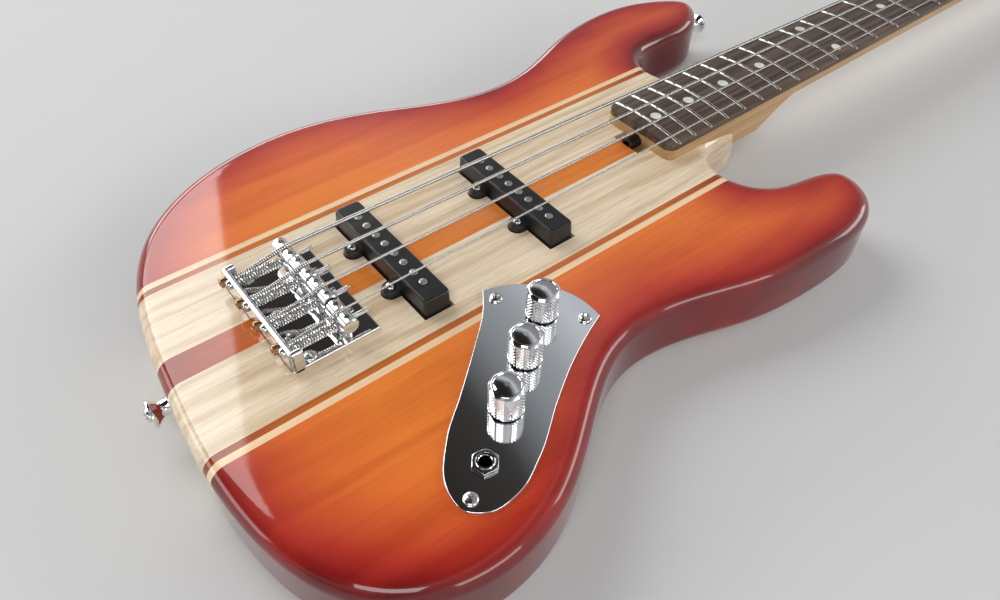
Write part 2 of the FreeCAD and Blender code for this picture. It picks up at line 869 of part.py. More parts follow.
TRUSS_LEVEL = "(body_thickness + neck_rise - truss_depth)"
TUNER_SCREW_SHARES = ((-0.40, 0.38), (-0.40, -0.38))
TUNER_TURN = Rotation(Vector(0, 0, 1), -S.tuner_angle)
PLATE_SHIFT_SHARE = 0.3
worm_offset = S.wheel_teeth * S.worm_pitch / (2 * math.pi) + S.worm_radius
plate_shift = worm_offset * PLATE_SHIFT_SHARE


def tuner_screw_points():
    """Plan positions of the screws that hold the tuners' base plates."""
    points = []
    for index in range(len(STRINGS)):
        for along, across in TUNER_SCREW_SHARES:
            local = Vector(plate_shift + S.tuner_plate_length * along, S.tuner_plate_width * across, 0)
            points.append(tuner_point(index) + TUNER_TURN.multVec(local))
    return points


def retainer_point():
    """Plan position of the string retainer, between its two strings."""
    x = S.scale_length + S.headstock_length * RETAINER_SHARE
    return Vector(x, (line_side(2, x) + line_side(3, x)) / 2, 0)


def neck_holes():
    """The truss rod's channel, the tuners' bores and the screws' pilot holes."""
    retainer = retainer_point()
    holes = [
        shaft("truss_channel", "truss_radius + fit_gap", "truss_length + overrun",
              ("neck_end - overrun", 0, TRUSS_LEVEL), "x"),
        rod("truss_mouth", "truss_nut_radius + clear_gap", "truss_nut_length + overrun",
            ("neck_end - truss_slot_length", 0, TRUSS_LEVEL), "x"),
        peg("retainer_hole", "small_screw_radius + fit_gap", "small_screw_length + overrun",
            (retainer.x, retainer.y, f"{HEAD_BACK} + headstock_thickness - small_screw_length")),
    ]
    for number, sides in enumerate(PLATE_BOLT_SIDES):
        holes.append(peg(f"bolt_thread_{number}", "neck_bolt_radius + fit_gap",
                         "neck_bolt_length - body_thickness + pocket_depth + overrun + 2 * fit_gap",
                         (*bolt_place(*sides), "body_thickness - pocket_depth - overrun")))
    for index in range(len(STRINGS)):
        point = tuner_point(index)
        at = (point.x, point.y, f"{HEAD_BACK} - overrun")
        bore = rod(f"tuner_bore_{index}", "tuner_bushing_radius + fit_gap",
                   "headstock_thickness + 2 * overrun", at)
        holes.append(place(bore, at, TUNER_TURN))
    for number, point in enumerate(tuner_screw_points()):
        at = (point.x, point.y, f"{HEAD_BACK} - overrun")
        hole = peg(f"tuner_screw_hole_{number}", "small_screw_radius + fit_gap",
                   "small_screw_length + overrun", at)
        holes.append(place(hole, at, TUNER_TURN))
    return holes


node(cut("neck_solid", neck_blank, neck_holes()), "neck")

# Fingerboard: a tapered plate under one long crown, with its dots, frets and nut

DOT_FRETS = (3, 5, 7, 9, 15, 17, 19, 21)
DOUBLE_DOT_FRET = 12


def dot_place(number):
    """Formula for the middle of the space behind a fret."""
    return f"scale_length * (2 ^ (-{number} / 12) + 2 ^ (-{number - 1} / 12)) / 2"


DOT_SIDES = 10


def dot_peg(name, radius, index):
    """A dot, or the hole for it, square to the crown."""
    number, side = DOTS[index]
    fall = f"sqrt(1 - ({side} * dot_offset / board_radius) ^ 2)"
    at = (dot_place(number), f"{side} * dot_offset * (1 - dot_depth / board_radius)",
          f"{BOARD_TOP} - board_radius + (board_radius - dot_depth) * {fall}")
    item = peg(name, radius, "dot_depth - dot_sink", at, sides=DOT_SIDES)
    lean = math.degrees(math.asin(S.dot_offset / S.board_radius))
    item.Placement = Placement(item.Placement.Base, Rotation(Vector(1, 0, 0), -side * lean))
    return item


DOTS = [(number, 0) for number in DOT_FRETS] + [(DOUBLE_DOT_FRET, side) for side in (1, -1)]


def fret_solid(number):
    """One fret: a low ridge carried round the crown."""
    x = fret_place(number)
    level = board_top - S.board_radius
    foot = S.board_radius + S.fit_gap
    half_angle = math.degrees(math.asin(board_half_width(x) / S.board_radius))
    profile = [
        Vector(x - S.fret_width / 2, 0, level + foot),
        Vector(x - S.fret_width / 4, 0, level + foot + S.fret_height),
        Vector(x + S.fret_width / 4, 0, level + foot + S.fret_height),
        Vector(x + S.fret_width / 2, 0, level + foot),
    ]
    face = Part.Face(Part.makePolygon(profile + profile[:1]))
    face.rotate(Vector(0, 0, level), Vector(1, 0, 0), -half_angle)
    return face.revolve(Vector(0, 0, level), Vector(1, 0, 0), 2 * half_angle)


def nut_level(index):
    """Level of a string's underside in its nut slot."""
    return board_top - board_drop(nut_side(index)) + S.nut_lift


crown = shaft("crown", "board_radius", "scale_length - neck_end + 2 * overrun",
              ("neck_end - overrun", 0, f"{BOARD_TOP} - board_radius"), "x")
board_plan = shape("board_plan", neck_plan(S.scale_length, 0))
board_slab = extrude("board", board_plan, "board_thickness + overrun", MAPLE_TOP)
board_blank = common("board_blank", board_slab, crown)
dot_holes = [dot_peg(f"dot_hole_{index}", "dot_radius + fit_gap", index) for index in range(len(DOTS))]
for hole in dot_holes:
    bind(hole, Height="dot_depth + overrun")
node(cut("board_solid", board_blank, dot_holes), "fingerboard")
dots = [dot_peg(f"dot_{index}", "dot_radius", index) for index in range(len(DOTS))]
node(group("dots", dots), "position_dots")
frets = [fret_solid(number) for number in range(1, int(S.fret_count) + 1)]
node(shape("fret_set", Part.makeCompound(frets)), "frets")

nut_block = box("nut_block", ("nut_length", "nut_width", "board_thickness + nut_lift + fret_height"),
                ("scale_length", "-nut_width / 2", MAPLE_TOP))
nut_slots = []
for index, name in enumerate(STRINGS):
    slot_width = f"(string_diameter_{name} + clear_gap)"
    slot = box(f"nut_slot_{name}", ("nut_length + 2 * overrun", slot_width, "overrun"),
               ("scale_length - overrun", f"nut_spacing * {STRING_PLACE_SHARES[index]} - {slot_width} / 2",
                nut_level(index) - S.fit_gap))
    nut_slots.append(slot)
node(cut("nut_solid", nut_block, nut_slots), "nut")

truss_nut = rod("truss_nut", "truss_nut_radius", "truss_nut_length",
                ("neck_end - truss_slot_length + clear_gap", 0, TRUSS_LEVEL), "x")
truss_bar = rod("truss_bar", "truss_radius", "truss_length - overrun", ("neck_end", 0, TRUSS_LEVEL), "x")
truss_socket = peg("truss_socket", "truss_socket", "truss_nut_length / 2",
                   ("neck_end - truss_slot_length", 0, TRUSS_LEVEL), "x")
node(cut("truss_solid", fuse("truss_blank", [truss_bar, truss_nut]), [truss_socket]), "truss_rod")

# Strings: each runs from its ball behind the bridge over its saddle and nut slot to its post

WIND_HALVES = 2


def wind_place(index, halves):
    """Point and direction of a string on its post after a number of half turns."""
    centre = tuner_point(index)
    radius = S.post_waist + string_radius(index) + S.fit_gap
    pitch = 2 * string_radius(index) + S.wind_gap
    angle = math.pi * halves - math.pi / 2
    start_level = head_face + S.post_height - S.post_cap - string_radius(index) - S.wind_gap
    level = start_level - pitch * halves / 2
    point = centre + Vector(radius * math.cos(angle), radius * math.sin(angle), level)
    way = Vector(-math.sin(angle), math.cos(angle), -pitch / (2 * math.pi * radius))
    return point, way.normalize()


def string_course(index):
    """The corners of a string's course, from its ball to the point where it reaches its post."""
    radius = string_radius(index)
    lip_back = S.bridge_front - S.bridge_length
    anchor = Vector(lip_back - S.fit_gap, string_side(index) + S.anchor_offset,
                    S.body_thickness + S.anchor_height)
    kink = anchor + Vector(S.lip_thickness + 2 * S.string_leg, 0, 0)
    crest = Vector(0, string_side(index), groove_level(index) + radius + S.fit_gap)
    nut_end = Vector(S.scale_length + S.nut_length, line_side(index, S.scale_length + S.nut_length),
                     nut_level(index) + radius)
    post, way = wind_place(index, 0)
    turn = (crest - kink).getAngle(nut_end - crest)
    crest.z += S.string_leg * math.tan(turn / 4)
    return [anchor, kink, crest, nut_end, post - way * S.string_leg, post]


def retainer_bottom():
    """Level of the retainer's underside, just over the two strings that it holds."""
    levels = []
    for index in (2, 3):
        course = string_course(index)
        nut_end, post = course[3], course[4]
        share = (retainer_point().x + S.retainer_width / 2 - nut_end.x) / (post.x - nut_end.x)
        start_share = (retainer_point().x - S.retainer_width / 2 - nut_end.x) / (post.x - nut_end.x)
        heights = [nut_end.z + (post.z - nut_end.z) * value for value in (share, start_share)]
        levels.append(max(heights) + string_radius(index) + S.fit_gap)
    return max(levels)


def retainer_top():
    """Level of the retainer's upper side."""
    return retainer_bottom() + S.retainer_height


def string_solid(index):
    """One string as an unbroken tube that ends in a few turns round its post."""
    course = string_course(index)
    arcs = cord_arcs(course, [S.string_leg] * (len(course) - 2))
    last_start, last_middle, last_end = arcs.pop()
    for half in range(WIND_HALVES):
        arcs += biarc(*wind_place(index, half), *wind_place(index, half + 1))
    return pipe(string_radius(index), arcs, Vector(1, 0, 0), WIRE_SIDES)


# Neck plate, neck bolts, strap buttons and wood screws

plate_plan = shape("plate_plan", rounded_face(
    S.neck_plate_length, S.neck_plate_width, S.neck_plate_corner, S.neck_plate_centre))
plate_bores = []
for number, sides in enumerate(PLATE_BOLT_SIDES):
    plate_bores.append(peg(f"plate_bore_{number}", "neck_bolt_radius + clear_gap",
                           "neck_plate_thickness + 2 * overrun", (*bolt_place(*sides), "-overrun")))
    plate_bores.append(peg(f"plate_sink_{number}", "neck_bolt_head + fit_gap",
                           "neck_plate_thickness / 2 + 2 * fit_gap", (*bolt_place(*sides), 0),
                           sides=HEAD_SIDES))
neck_plate_blank = extrude("neck_plate_blank", plate_plan, "neck_plate_thickness", "0")
node(cut("neck_plate_solid", neck_plate_blank, plate_bores), "neck_plate")

bolts = []
for number, sides in enumerate(PLATE_BOLT_SIDES):
    at = (*bolt_place(*sides), "fit_gap")
    head = peg(f"bolt_head_{number}", "neck_bolt_head - fit_gap", "neck_plate_thickness / 2", at,
               sides=HEAD_SIDES)
    shank = peg(f"bolt_shank_{number}", "neck_bolt_radius", "neck_bolt_length", at)
    bolts.append(fuse(f"bolt_{number}", [head, shank]))
node(group("bolts", bolts), "neck_bolts")


def strap_button(name, x, y, axis, inward):
    """A turned button on its seat: a foot that narrows to a waist and a wide rim."""
    sign = -1 if axis == "-x" else 1
    half = "(button_length - button_rim) / 2"
    seat = (x, y, "button_height")
    foot_end = (f"{x} + {sign} * {half}", y, "button_height")
    rim_start = (f"{x} + {sign} * (button_length - button_rim)", y, "button_height")
    turned = fuse(f"{name}_blank", [
        taper(f"{name}_foot", "button_base_radius", "button_waist_radius", half, seat, axis),
        taper(f"{name}_neck", "button_waist_radius", "button_head_radius", half, foot_end, axis),
        rod(f"{name}_rim", "button_head_radius", "button_rim", rim_start, axis),
    ])
    bore = peg(f"{name}_bore", "screw_radius + fit_gap", "button_length + overrun", seat, axis)
    return cut(f"{name}_turned", turned, [bore])


def screw(name, radius, length, head_radius, at, turn=None):
    """A wood screw, its seat at a point and its shank running down from there."""
    head = peg(f"{name}_head", head_radius, "screw_head_height", (0, 0, 0), sides=HEAD_SIDES)
    shank = peg(f"{name}_shank", radius, length, (0, 0, 0), "-z")
    return place(fuse(name, [head, shank]), at, turn)


def body_screw(name, length, at, turn=None):
    """A screw of the size that goes into the body."""
    return screw(name, "screw_radius", length, "screw_head_radius", at, turn)


node(group("buttons", [strap_button(name, *seat) for name, seat in BUTTON_SEATS.items()]), "strap_buttons")

wood_screws = []
for number, share in enumerate(BRIDGE_SCREW_SHARES):
    at = ("bridge_front - bridge_length + bridge_screw_inset", f"{share} * bridge_screw_spacing",
          "body_thickness + bridge_thickness")
    wood_screws.append(body_screw(f"bridge_screw_{number}", "screw_length", at))
for number, shares in enumerate(PLATE_SCREW_SHARES):
    at = (*plate_screw_place(*shares), "body_thickness + plate_thickness")
    wood_screws.append(body_screw(f"plate_screw_{number}", "screw_length", at))
for name, (x, y, axis, inward) in BUTTON_SEATS.items():
    sign = -1 if axis == "-x" else 1
    at = (f"{x} + {sign} * button_length", y, "button_height")
    wood_screws.append(body_screw(f"{name}_screw", "screw_length + button_length", at, AXIS_TURNS[axis]))
for number, point in enumerate(tuner_screw_points()):
    at = (point.x, point.y, f"{HEAD_BACK} - tuner_plate_thickness")
    wood_screws.append(screw(f"tuner_screw_{number}", "small_screw_radius", "small_screw_length",
                             "small_screw_head_radius", at, TUNER_TURN.multiply(AXIS_TURNS["-z"])))
retainer = retainer_point()
wood_screws.append(screw("retainer_screw", "small_screw_radius",
                         f"{retainer_top() - head_face} + small_screw_length / 2", "small_screw_head_radius",
                         (retainer.x, retainer.y, retainer_top())))
node(group("screws", wood_screws), "wood_screws")

retainer_length = "(1.5 * nut_spacing + 2 * string_diameter_d)"
retainer_bar = box("retainer_bar", ("retainer_width", retainer_length, "retainer_height"),
                   (retainer.x - S.retainer_width / 2, f"{retainer.y} - {retainer_length} / 2",
                    retainer_bottom()))
retainer_stem = rod("retainer_stem", "retainer_stem", f"{retainer_top() - head_face}",
                    (retainer.x, retainer.y, head_face))
retainer_bore = peg("retainer_bore", "small_screw_radius + fit_gap", "headstock_length",
                    (retainer.x, retainer.y, head_face - S.overrun))
retainer_blank = fuse("retainer_blank", [retainer_bar, retainer_stem])
node(cut("retainer_solid", retainer_blank, [retainer_bore]), "string_retainer")

# Tuners: a base plate with two ears, a key with a worm in the ears and a post with a worm wheel.
# Each is made once round its post's axis, from the back of the headstock, and then set down four times.

WORM_OFFSET = "(wheel_teeth * worm_pitch / (2 * pi) + worm_radius)"
WORM_LEVEL = "(-tuner_plate_thickness - worm_radius - tooth_addendum - clear_gap)"
EAR_START = "(worm_turns * worm_pitch / 2 + tooth_thickness + clear_gap)"
worm_level = -S.tuner_plate_thickness - S.worm_radius - S.tooth_addendum - S.clear_gap


def tooth_half(rise):
    """Half a tooth's thickness at a height above the pitch line."""
    return S.tooth_thickness / 2 - S.tooth_draft * rise / S.tooth_addendum


WORM_STEPS = 8


def worm_thread():
    """The worm's thread, right-handed about +Y, with its teeth level with the wheel's middle."""
    inner = (S.key_shaft_radius - S.fit_gap) * math.cos(math.pi / WORM_STEPS) - S.fit_gap
    profile = [
        (inner, -tooth_half(inner - S.worm_radius)),
        (S.worm_radius + S.tooth_addendum, -tooth_half(S.tooth_addendum)),
        (S.worm_radius + S.tooth_addendum, tooth_half(S.tooth_addendum)),
        (inner, tooth_half(inner - S.worm_radius)),
    ]
    rings = []
    for step in range(int(S.worm_turns * WORM_STEPS) + 1):
        angle = 2 * math.pi * step / WORM_STEPS
        along = S.worm_pitch * (step / WORM_STEPS - S.worm_turns / 2)
        way = Vector(-math.cos(angle), 0, math.sin(angle))
        middle = Vector(worm_offset, along, worm_level)
        rings.append([middle + way * radius + Vector(0, offset, 0) for radius, offset in profile])
    faces = [Part.Face(closed_wire(rings[0])), Part.Face(closed_wire(rings[-1]))]
    for ring, following in zip(rings, rings[1:]):
        for corner in range(len(ring)):
            ahead = (corner + 1) % len(ring)
            faces.append(Part.Face(closed_wire([ring[corner], ring[ahead], following[ahead]])))
            faces.append(Part.Face(closed_wire([ring[corner], following[ahead], following[corner]])))
    shell = Part.Shell(faces)
    shell.sewShape()
    solid = Part.Solid(shell)
    if solid.Volume < 0:
        solid.reverse()
    return solid


def wheel_face():
    """The worm wheel's outline, with its teeth set to mesh with the worm."""
    pitch_radius = S.wheel_teeth * S.worm_pitch / (2 * math.pi)
    depth = S.tooth_addendum + S.clear_gap
    root = pitch_radius - depth
    tip = pitch_radius + S.tooth_addendum
    points = []
    for tooth in range(int(S.wheel_teeth)):
        middle = 2 * math.pi * (tooth + (1 + S.worm_turns) / 2) / S.wheel_teeth
        for radius, half in ((root, -tooth_half(-depth)), (tip, -tooth_half(S.tooth_addendum)),
                             (tip, tooth_half(S.tooth_addendum)), (root, tooth_half(-depth))):
            angle = middle + half / radius
            points.append(Vector(radius * math.cos(angle), radius * math.sin(angle), 0))
    return Part.Face(Part.makePolygon(points + points[:1]))


def tuner_plate():
    """The base plate with its two ears, bored for the key's shaft and the post."""
    ear_size = ("tuner_ear_width", "ear_block",
                f"tuner_ear_width / 2 - {WORM_LEVEL} - tuner_plate_thickness / 2")
    ear_x = f"{WORM_OFFSET} - tuner_ear_width / 2"
    ear_z = f"{WORM_LEVEL} - tuner_ear_width / 2"
    blank = fuse("tuner_plate_blank", [
        box("tuner_base", ("tuner_plate_length", "tuner_plate_width", "tuner_plate_thickness"),
            (f"{WORM_OFFSET} * {PLATE_SHIFT_SHARE} - tuner_plate_length / 2", "-tuner_plate_width / 2",
             "-tuner_plate_thickness")),
        box("tuner_ear_near", ear_size, (ear_x, EAR_START, ear_z)),
        box("tuner_ear_far", ear_size, (ear_x, f"-{EAR_START} - ear_block", ear_z)),
    ])
    bores = [
        shaft("key_bore", "key_shaft_radius + fit_gap", "tuner_plate_width",
              (WORM_OFFSET, "-tuner_plate_width / 2", WORM_LEVEL), "y"),
        rod("post_bore", "post_radius + clear_gap", "tuner_plate_thickness + 2 * overrun",
            (0, 0, "-tuner_plate_thickness - overrun")),
    ]
    for number, (along, across) in enumerate(TUNER_SCREW_SHARES):
        bores.append(peg(f"tuner_plate_hole_{number}", "small_screw_radius + fit_gap", "2 * overrun",
                         (f"{WORM_OFFSET} * {PLATE_SHIFT_SHARE} + tuner_plate_length * {along}",
                          f"tuner_plate_width * {across}", "-overrun")))
    return cut("tuner_plate_master", blank, bores)


def tuner_key():
    """The key: a flat paddle on a shaft that carries the worm."""
    paddle_middle = S.key_reach + S.key_length / 2 - S.key_shaft_radius
    round_half = S.key_length / 2
    reach = Vector(max(S.key_width / 2 - round_half, S.fit_gap), 0, 0)
    middle = Vector(worm_offset, paddle_middle, 0)
    paddle_plan = shape("paddle_plan", slot_face(middle - reach, middle + reach, round_half))
    return fuse("tuner_key_master", [
        rod("key_shaft", "key_shaft_radius", f"key_reach - {EAR_START} + fit_gap",
            (WORM_OFFSET, f"{EAR_START} - fit_gap", WORM_LEVEL), "y"),
        rod("key_pivot", "key_shaft_radius", "ear_block + clear_gap + fit_gap",
            (WORM_OFFSET, f"-{EAR_START} - ear_block - clear_gap", WORM_LEVEL), "y"),
        peg("worm_core", "key_shaft_radius - fit_gap", f"2 * {EAR_START}",
            (WORM_OFFSET, f"-{EAR_START}", WORM_LEVEL), "y", WORM_STEPS),
        shape("worm_thread", worm_thread()),
        extrude("paddle", paddle_plan, "key_thickness", f"{WORM_LEVEL} - key_thickness / 2"),
    ])


def tuner_post():
    """The post with its waist, its cap and the wheel at its foot."""
    shoulder = "(headstock_thickness + tuner_flange_height + post_shoulder)"
    cap = "(headstock_thickness + post_height - post_cap)"
    foot = f"({WORM_LEVEL} - wheel_thickness / 2)"
    return fuse("tuner_post_master", [
        extrude("wheel", shape("wheel_plan", wheel_face()), "wheel_thickness", foot),
        rod("post_foot", "post_radius", f"{shoulder} - {foot}", (0, 0, foot)),
        rod("post_middle", "post_waist", f"{cap} - {shoulder}", (0, 0, shoulder)),
        rod("post_top", "post_radius", "post_cap", (0, 0, cap)),
    ])


def tuner_bushing():
    """The bushing that guides the post through the headstock."""
    sleeve = rod("bushing_sleeve", "tuner_bushing_radius", "headstock_thickness", (0, 0, 0))
    flange = rod("bushing_flange", "tuner_flange_radius", "tuner_flange_height",
                 (0, 0, "headstock_thickness"))
    bore = shaft("bushing_bore", "post_radius + fit_gap",
                 "headstock_thickness + tuner_flange_height + 2 * overrun", (0, 0, "-overrun"))
    return cut("tuner_bushing_master", fuse("bushing_blank", [sleeve, flange]), [bore])


def on_headstock(name, master, index):
    """A tuner piece set down at its string's post."""
    point = tuner_point(index)
    return copy(f"{name}_{STRINGS[index]}", master, (point.x, point.y, HEAD_BACK), TUNER_TURN)


string_numbers = range(len(STRINGS))
plate_master = tuner_plate()
bushing_master = tuner_bushing()
key_master = tuner_key()
post_master = tuner_post()
plates = [on_headstock("plate", plate_master, index) for index in string_numbers]
bushings = [on_headstock("bushing", bushing_master, index) for index in string_numbers]
node(group("plates", plates), "tuner_plates")
node(group("bushings", bushings), "tuner_bushings")
for index, name in enumerate(STRINGS):
    node(on_headstock("key", key_master, index), f"tuner_key_{name}")
    node(on_headstock("post", post_master, index), f"tuner_post_{name}")

strings = [string_solid(index) for index in string_numbers]
balls = []
for index, name in enumerate(STRINGS):
    balls.append(rod(f"ball_{name}", "ball_radius", "ball_length",
                     ("bridge_front - bridge_length - ball_length - fit_gap",
                      f"string_spacing * {STRING_PLACE_SHARES[index]} + anchor_offset",
                      "body_thickness + anchor_height"), "x"))
node(group("string_set", [shape("string_tubes", Part.makeCompound(strings)), *balls]), "strings")

# Bridge: a bent plate, four barrel saddles on height screws, intonation screws and springs

BRIDGE_BACK = "(bridge_front - bridge_length)"
INTONATION_LEVEL = "(body_thickness + intonation_height)"
HEIGHT_SIDES = (1, -1)


def screw_side(index):
    """Formula for an intonation screw's distance from the centre line."""
    return f"(string_spacing * {STRING_PLACE_SHARES[index]} - intonation_offset)"


def bridge_plate():
    """The plate with its upturned lip, two end tabs and all its holes."""
    lip_size = ("lip_thickness", "bridge_width", "lip_height")
    tab_size = ("lip_tab", "lip_thickness", "lip_height")
    blank = fuse("bridge_blank", [
        box("bridge_base", ("bridge_length", "bridge_width", "bridge_thickness"),
            (BRIDGE_BACK, "-bridge_width / 2", "body_thickness")),
        box("bridge_lip", lip_size, (BRIDGE_BACK, "-bridge_width / 2", "body_thickness")),
        box("bridge_tab_bass", tab_size, (BRIDGE_BACK, "bridge_width / 2 - lip_thickness", "body_thickness")),
        box("bridge_tab_treble", tab_size, (BRIDGE_BACK, "-bridge_width / 2", "body_thickness")),
    ])
    holes = []
    for index, name in enumerate(STRINGS):
        through = "lip_thickness + 2 * overrun"
        outside = f"{BRIDGE_BACK} - overrun"
        anchor_side = f"string_spacing * {STRING_PLACE_SHARES[index]} + anchor_offset"
        holes.append(shaft(f"intonation_hole_{name}", "intonation_radius + fit_gap", through,
                           (outside, screw_side(index), INTONATION_LEVEL), "x"))
        holes.append(rod(f"string_hole_{name}", f"string_diameter_{name} / 2 + clear_gap", through,
                         (outside, anchor_side, "body_thickness + anchor_height"), "x"))
    for number, share in enumerate(BRIDGE_SCREW_SHARES):
        holes.append(peg(f"bridge_hole_{number}", "screw_radius + fit_gap", "bridge_thickness + 2 * overrun",
                         (f"{BRIDGE_BACK} + bridge_screw_inset", f"{share} * bridge_screw_spacing",
                          "body_thickness - overrun")))
    return cut("bridge_solid", blank, holes)


def saddle(index, name):
    """A barrel saddle turned down to a waist under its string, bored for its three screws."""
    level = saddle_level(index)
    side = f"string_spacing * {STRING_PLACE_SHARES[index]}"
    barrel = "((saddle_length - saddle_waist) / 2)"
    blank = fuse(f"saddle_blank_{name}", [
        rod(f"saddle_core_{name}", "saddle_radius - saddle_groove", "saddle_length",
            (0, f"{side} - saddle_length / 2", level), "y"),
        rod(f"saddle_low_{name}", "saddle_radius", barrel, (0, f"{side} - saddle_length / 2", level), "y"),
        rod(f"saddle_high_{name}", "saddle_radius", barrel, (0, f"{side} + saddle_waist / 2", level), "y"),
    ])
    bores = [shaft(f"saddle_thread_{name}", "intonation_radius + fit_gap", "2 * saddle_length",
                   ("-saddle_length", screw_side(index), INTONATION_LEVEL), "x")]
    for sign in HEIGHT_SIDES:
        bores.append(rod(f"saddle_bore_{name}_{sign + 1}", "height_screw_radius + fit_gap", "saddle_length",
                         (0, f"{side} + {sign} * height_screw_spread", level - S.saddle_length / 2)))
    return cut(f"saddle_solid_{name}", blank, bores)


def height_screws(index, name):
    """The two headless screws that a saddle stands on."""
    foot = S.body_thickness + S.bridge_thickness + S.fit_gap
    top = saddle_level(index) + S.saddle_radius - S.saddle_groove
    pegs = []
    middle = f"string_spacing * {STRING_PLACE_SHARES[index]}"
    for sign in HEIGHT_SIDES:
        pegs.append(peg(f"height_screw_{name}_{sign + 1}", "height_screw_radius", f"{top - foot}",
                        (0, f"{middle} + {sign} * height_screw_spread", foot), sides=GRUB_SIDES))
    return group(f"height_screws_{name}", pegs)


def intonation_screw(index, name):
    """A long screw with its head behind the lip."""
    head_back = f"{BRIDGE_BACK} - intonation_head_length - fit_gap"
    head = rod(f"intonation_head_{name}", "intonation_head_radius", "intonation_head_length",
               (head_back, screw_side(index), INTONATION_LEVEL), "x")
    slot = box(f"intonation_slot_{name}", ("intonation_head_length / 2", "intonation_head_radius / 3",
                                           "2 * intonation_head_radius + overrun"),
               (head_back, f"{screw_side(index)} - intonation_head_radius / 6",
                f"{INTONATION_LEVEL} - intonation_head_radius - overrun / 2"))
    shank = rod(f"intonation_shank_{name}", "intonation_radius", "intonation_length + fit_gap",
                (f"{BRIDGE_BACK} - fit_gap", screw_side(index), INTONATION_LEVEL), "x")
    return fuse(f"intonation_{name}", [cut(f"intonation_slotted_{name}", head, [slot]), shank])


def spring_arcs(index):
    """The course of a coil spring from the lip to the saddle, with a short straight end at each side."""
    side = string_side(index) - S.intonation_offset
    level = S.body_thickness + S.intonation_height
    first = S.bridge_front - S.bridge_length + S.lip_thickness + S.fit_gap
    last = -S.saddle_radius - S.fit_gap
    straight = 2 * S.spring_wire_radius
    lead_in = straight + S.spring_radius
    halves = int(S.spring_curls) * 2
    pitch = (last - first - 2 * lead_in) / S.spring_curls

    def on_coil(x, angle):
        return Vector(x, side + S.spring_radius * math.cos(angle), level + S.spring_radius * math.sin(angle))

    def coil_way(angle):
        slope = pitch / (2 * math.pi)
        way = Vector(slope, -S.spring_radius * math.sin(angle), S.spring_radius * math.cos(angle))
        return way.normalize()

    ahead = Vector(1, 0, 0)
    turn_in = math.pi / 4
    start = on_coil(first + straight, -turn_in)
    end = on_coil(last - straight, turn_in)
    arcs = [(start - ahead * straight, start - ahead * (straight / 2), start)]
    arcs += biarc(start, ahead, on_coil(first + lead_in, 0), coil_way(0))
    for half in range(halves):
        angle = math.pi * half
        x = first + lead_in + pitch * half / 2
        arcs += biarc(on_coil(x, angle), coil_way(angle), on_coil(x + pitch / 2, angle + math.pi),
                      coil_way(angle + math.pi))
    arcs += biarc(on_coil(last - lead_in, 0), coil_way(0), end, ahead)
    arcs.append((end, end + ahead * (straight / 2), end + ahead * straight))
    gap = least_gap(arcs, S.spring_wire_radius, math.pi * S.spring_radius)
    print(f"spring {STRINGS[index]}: least gap to itself {gap:.2f} mm")
    return arcs


node(bridge_plate(), "bridge_plate")
for index, name in enumerate(STRINGS):
    node(saddle(index, name), f"saddle_{name}")
    node(height_screws(index, name), f"saddle_screws_{name}")
    node(intonation_screw(index, name), f"intonation_screw_{name}")
springs = [pipe(S.spring_wire_radius, spring_arcs(index), Vector(1, 0, 0), WIRE_SIDES)
           for index in string_numbers]
node(shape("spring_set", Part.makeCompound(springs)), "intonation_springs")

# Pickups: a hollow cover with four ears, pole pieces, coil, fixing screws and a foam pad below

POLE_SIDES = (1, -1)
COIL_INSET = "(cover_wall + cover_draft + clear_gap)"
COIL_TOP = "(body_thickness + cover_top - cover_wall - clear_gap)"


def frustum(name, length, width, height, at):
    """A block that draws in by the draft towards its top, centred over a point."""
    item = doc.addObject("Part::Wedge", name)
    bind(item, Xmin=f"-{width} / 2", Xmax=f"{width} / 2", Zmin=f"-{length} / 2", Zmax=f"{length} / 2",
         Ymin="0", Ymax=height, X2min=f"cover_draft - {width} / 2", X2max=f"{width} / 2 - cover_draft",
         Z2min=f"cover_draft - {length} / 2", Z2max=f"{length} / 2 - cover_draft")
    return place(item, at, Rotation(Vector(1, 0, 0), 90))


def pole_sides():
    """Formulas for the pole pieces' distances from the centre line, two for each string."""
    return [f"{share} * pole_spacing + {side} * pole_spread"
            for share in STRING_PLACE_SHARES for side in POLE_SIDES]


def pickup_cover(name):
    """The cover: a drafted shell with an ear at each fixing screw."""
    centre = f"{name}_pickup_centre"
    length = f"{name}_pickup_length"
    low = "body_thickness - cover_depth"
    ear_low = "body_thickness + ear_top - ear_thickness"
    shell = frustum(f"{name}_shell", length, "cover_width", "cover_depth + cover_top", (centre, 0, low))
    hollow = frustum(f"{name}_hollow", f"({length} - 2 * cover_wall)", "(cover_width - 2 * cover_wall)",
                     "cover_depth + cover_top - cover_wall", (centre, 0, low))
    pieces = [shell]
    holes = [hollow]
    link = "(ear_reach - cover_width / 2 + cover_wall)"
    for number, (sign_x, sign_y) in enumerate(EAR_SIDES):
        at = (f"{centre} + {sign_x} * ear_reach", f"{sign_y} * ear_spread", ear_low)
        link_x = f"{centre} + ear_reach - {link}" if sign_x > 0 else f"{centre} - ear_reach"
        pieces.append(rod(f"{name}_ear_{number}", "ear_radius", "ear_thickness", at))
        pieces.append(box(f"{name}_link_{number}", (link, "2 * ear_radius", "ear_thickness"),
                          (link_x, f"{sign_y} * ear_spread - ear_radius", ear_low)))
        holes.append(peg(f"{name}_ear_hole_{number}", "screw_radius + fit_gap", "ear_thickness + 2 * overrun",
                         (at[0], at[1], f"{ear_low} - overrun")))
    for number, side in enumerate(pole_sides()):
        holes.append(rod(f"{name}_pole_hole_{number}", "pole_radius + fit_gap", "cover_top + overrun",
                         (centre, side, "body_thickness")))
    return cut(f"{name}_cover", fuse(f"{name}_cover_blank", pieces), holes)


